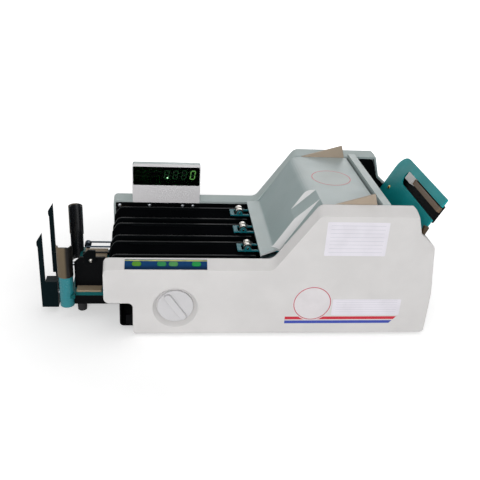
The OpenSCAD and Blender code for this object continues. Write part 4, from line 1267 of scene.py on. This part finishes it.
@dataclass
class PowerEnd(Assembly):
    """Mains inlet and switch in the end cover."""

    inlet_y: float = 60.0
    inlet_z: float = 32.0
    blade_x: float = 409.1
    blade_pitch: float = 7.0
    blade_offset: float = 2.0
    blade_length: float = 14.2
    rocker_x: float = 422.2
    rocker_y: float = 105.0
    rocker_tilt: float = 8.0
    ridge: float = 3.0
    crest: float = 4.0
    half_length: float = 7.4
    mark_depth: float = 0.06

    def blades(self) -> Shape:
        """Sheathe the inlet's three blades in metal with rounded tips.

        Returns:
            The three sheaths in one shape, the middle one higher than the others.
        """
        outline = rounded_box(width=2.3, height=4.3, radius=0.3, steps=3)
        blade = plate(outline, foot=0.0, top=self.blade_length, bevel=0.6, steps=4)
        places = [(self.inlet_y + step * self.blade_pitch, self.inlet_z + side * self.blade_offset)
                  for step, side in ((-1, -1), (0, 1), (1, -1))]
        return gathered([self.face(self.blade_x, y, z, BACK, UP).put(blade) for y, z in places])

    def facet(self, side: int) -> Placement:
        """Give the frame of one half of the rocker's face, turned with the rocker at rest.

        Args:
            side: -1 for the half towards the front, 1 for the other.

        Returns:
            The frame at the half's middle; the face runs from the ridge over the pivot to the
            crest at the half's end.
        """
        turn = Matrix.Rotation(math.radians(-self.rocker_tilt), 3, "Z")
        along = np.array(turn @ Vector((self.crest - self.ridge, self.half_length * side, 0.0)))
        middle = Vector(((self.ridge + self.crest) / 2.0, self.half_length / 2.0 * side, 0.0))
        x, y, _ = turn @ middle
        u = along / np.linalg.norm(along) * side
        return self.face(self.rocker_x + x, self.rocker_y + y, self.inlet_z, u, UP)

    def build(self) -> None:
        """Dress the end and add the blades and the on and off marks."""
        self.dress(BLACK_PLASTIC, "mains_inlet", "mains_switch", "switch_rocker")
        self.add("inlet_blades", self.blades(), CHROME, "chrome")
        outline = rounded_box(width=0.8, height=3.6, radius=0.2, steps=3)
        bar = film(outline, self.mark_depth, bevel=0.02)
        ring = hoop(inner=1.3, outer=1.9, foot=-SEAT, top=self.mark_depth, count=32)
        for name, side, mark in (("mark_on", -1, bar), ("mark_off", 1, ring)):
            self.add(name, self.facet(side).put(mark), MARK_WHITE, "casing", Body.ROCKER)


@dataclass
class Studio(Assembly):
    """Pale floor, soft light and a camera at the photograph's place."""

    eye: Point = (73.8637, -723.4174, 505.6652)
    pitch: float = 26.7996
    yaw: float = 7.3227
    roll: float = -3.8783
    focal_px: float = 668.4987
    image_px: float = 480.0
    reach: float = 9.0
    floor_z: float = -0.0003
    floor_tints: tuple[Rgb, Rgb] = ((0.93, 0.93, 0.93), (0.95, 0.95, 0.95))
    glow: float = 0.4
    fade: Pair = (0.2, 0.8)
    ambient: float = 0.28
    aim_z: float = 0.08
    lamps: tuple[tuple[str, Point, float, float], ...] = (
        ("key_box", (-0.5, -1.9, 0.7), 1.2, 19.5),
        ("fill_box", (1.6, -1.4, 0.7), 1.4, 4.0),
        ("top_box", (0.6, 0.2, 2.0), 1.6, 6.5),
        ("back_box", (0.3, 2.0, 0.7), 1.4, 9.0),
    )

    def camera(self) -> None:
        """Set the camera by its yaw to the right, its fall and its roll."""
        data = bpy.data.cameras.new("view_camera")
        data.sensor_width = 36.0
        data.lens = self.focal_px / self.image_px * data.sensor_width
        camera = bpy.data.objects.new("view_camera", data)
        place = Matrix.Translation(self.at(*self.eye).tolist())
        for angle, axis in ((-self.yaw, "Z"), (90.0 - self.pitch, "X"), (-self.roll, "Z")):
            place = place @ Matrix.Rotation(math.radians(angle), 4, axis)
        camera.matrix_world = place
        bpy.context.scene.collection.objects.link(camera)
        bpy.context.scene.camera = camera

    def floor(self) -> None:
        """Lay a flat grid just under the feet; only the camera sees it fade to white outwards."""
        span = np.linspace(-self.reach, self.reach, 5)
        x, y = np.meshgrid(span, span)
        points = np.stack([x, y, np.full_like(x, self.floor_z)], axis=-1).reshape(-1, 3)
        mesh = bpy.data.meshes.new("floor")
        quads = grid_quads(rows=5, columns=5, strips=4, steps=4)
        mesh.from_pydata(points.tolist(), [], quads.tolist())
        made = bpy.data.materials.new("floor_white")
        made.use_nodes = True
        graph = Graph(made.node_tree)
        away = graph.vector("LENGTH", graph.place())["Value"]
        seen = graph.add("LightPath").outputs["Is Camera Ray"]
        glow = graph.times(seen, graph.ramp(away, *self.fade, first=self.glow))
        graph.feed(Base_Color=graph.mix(graph.noise(scale=3.0), *self.floor_tints), Roughness=0.9,
                   Specular_IOR_Level=0.0, Emission_Color=(1.0, 1.0, 1.0), Emission_Strength=glow)
        mesh.materials.append(made)
        floor = bpy.data.objects.new("floor", mesh)
        bpy.context.scene.collection.objects.link(floor)

    def world(self) -> None:
        """Light evenly from all round; the camera, metal and glass see plain white."""
        world = bpy.data.worlds.new("studio_white")
        world.use_nodes = True
        graph = Graph(world.node_tree)
        path = graph.add("LightPath").outputs
        seen = graph.math("ADD", path["Is Camera Ray"], path["Is Transmission Ray"])
        seen = graph.math("MINIMUM", graph.math("ADD", seen, path["Is Glossy Ray"]), 1.0)
        white = (1.0, 1.0, 1.0)
        soft = graph.add("Background", {"Color": white, "Strength": self.ambient})
        plain = world.node_tree.nodes["Background"]
        graph.put(white, plain.inputs["Color"])
        graph.put(1.0, plain.inputs["Strength"])
        both = graph.add("MixShader", {0: seen, 1: soft.outputs[0], 2: plain.outputs[0]})
        graph.put(both.outputs[0], world.node_tree.nodes["World Output"].inputs["Surface"])
        bpy.context.scene.world = world

    def lamp(self, name: str, at: Point, size: float, watts: float) -> None:
        """Hang one square soft box that faces the machine.

        Args:
            name: Name of the lamp.
            at: Its place in metres.
            size: Side of the box in metres.
            watts: Its power.
        """
        data = bpy.data.lights.new(name, "AREA")
        data.size = size
        data.energy = watts
        back = np.array(at) - self.aim_z * UP
        z = back / np.linalg.norm(back)
        x = np.cross(BACK if abs(z[2]) > 0.9 else UP, z)
        x /= np.linalg.norm(x)
        lamp = bpy.data.objects.new(name, data)
        turn = Matrix(np.column_stack([x, np.cross(z, x), z]).tolist()).to_4x4()
        lamp.matrix_world = Matrix.Translation(at) @ turn
        bpy.context.scene.collection.objects.link(lamp)

    def build(self) -> None:
        """Set the camera, the floor, the world and the lamps."""
        self.camera()
        self.floor()
        self.world()
        for settings in self.lamps:
            self.lamp(*settings)
        bpy.context.scene.view_settings.view_transform = "Standard"
        LOG.info("studio set")


def main() -> None:
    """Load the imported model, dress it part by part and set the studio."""
    logging.basicConfig(level=logging.INFO, format="%(name)s: %(message)s")
    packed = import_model()
    nodes = packed["nodes"]
    origin = np.array(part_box("front_cover")[0])
    parts = (Studio, Casing, Deck, Hood, Hopper, Display, KeyStrip, Drive, Stacker, PowerEnd)
    for part in parts:
        part(origin, nodes).build()


if __name__ == "__main__":
    main()
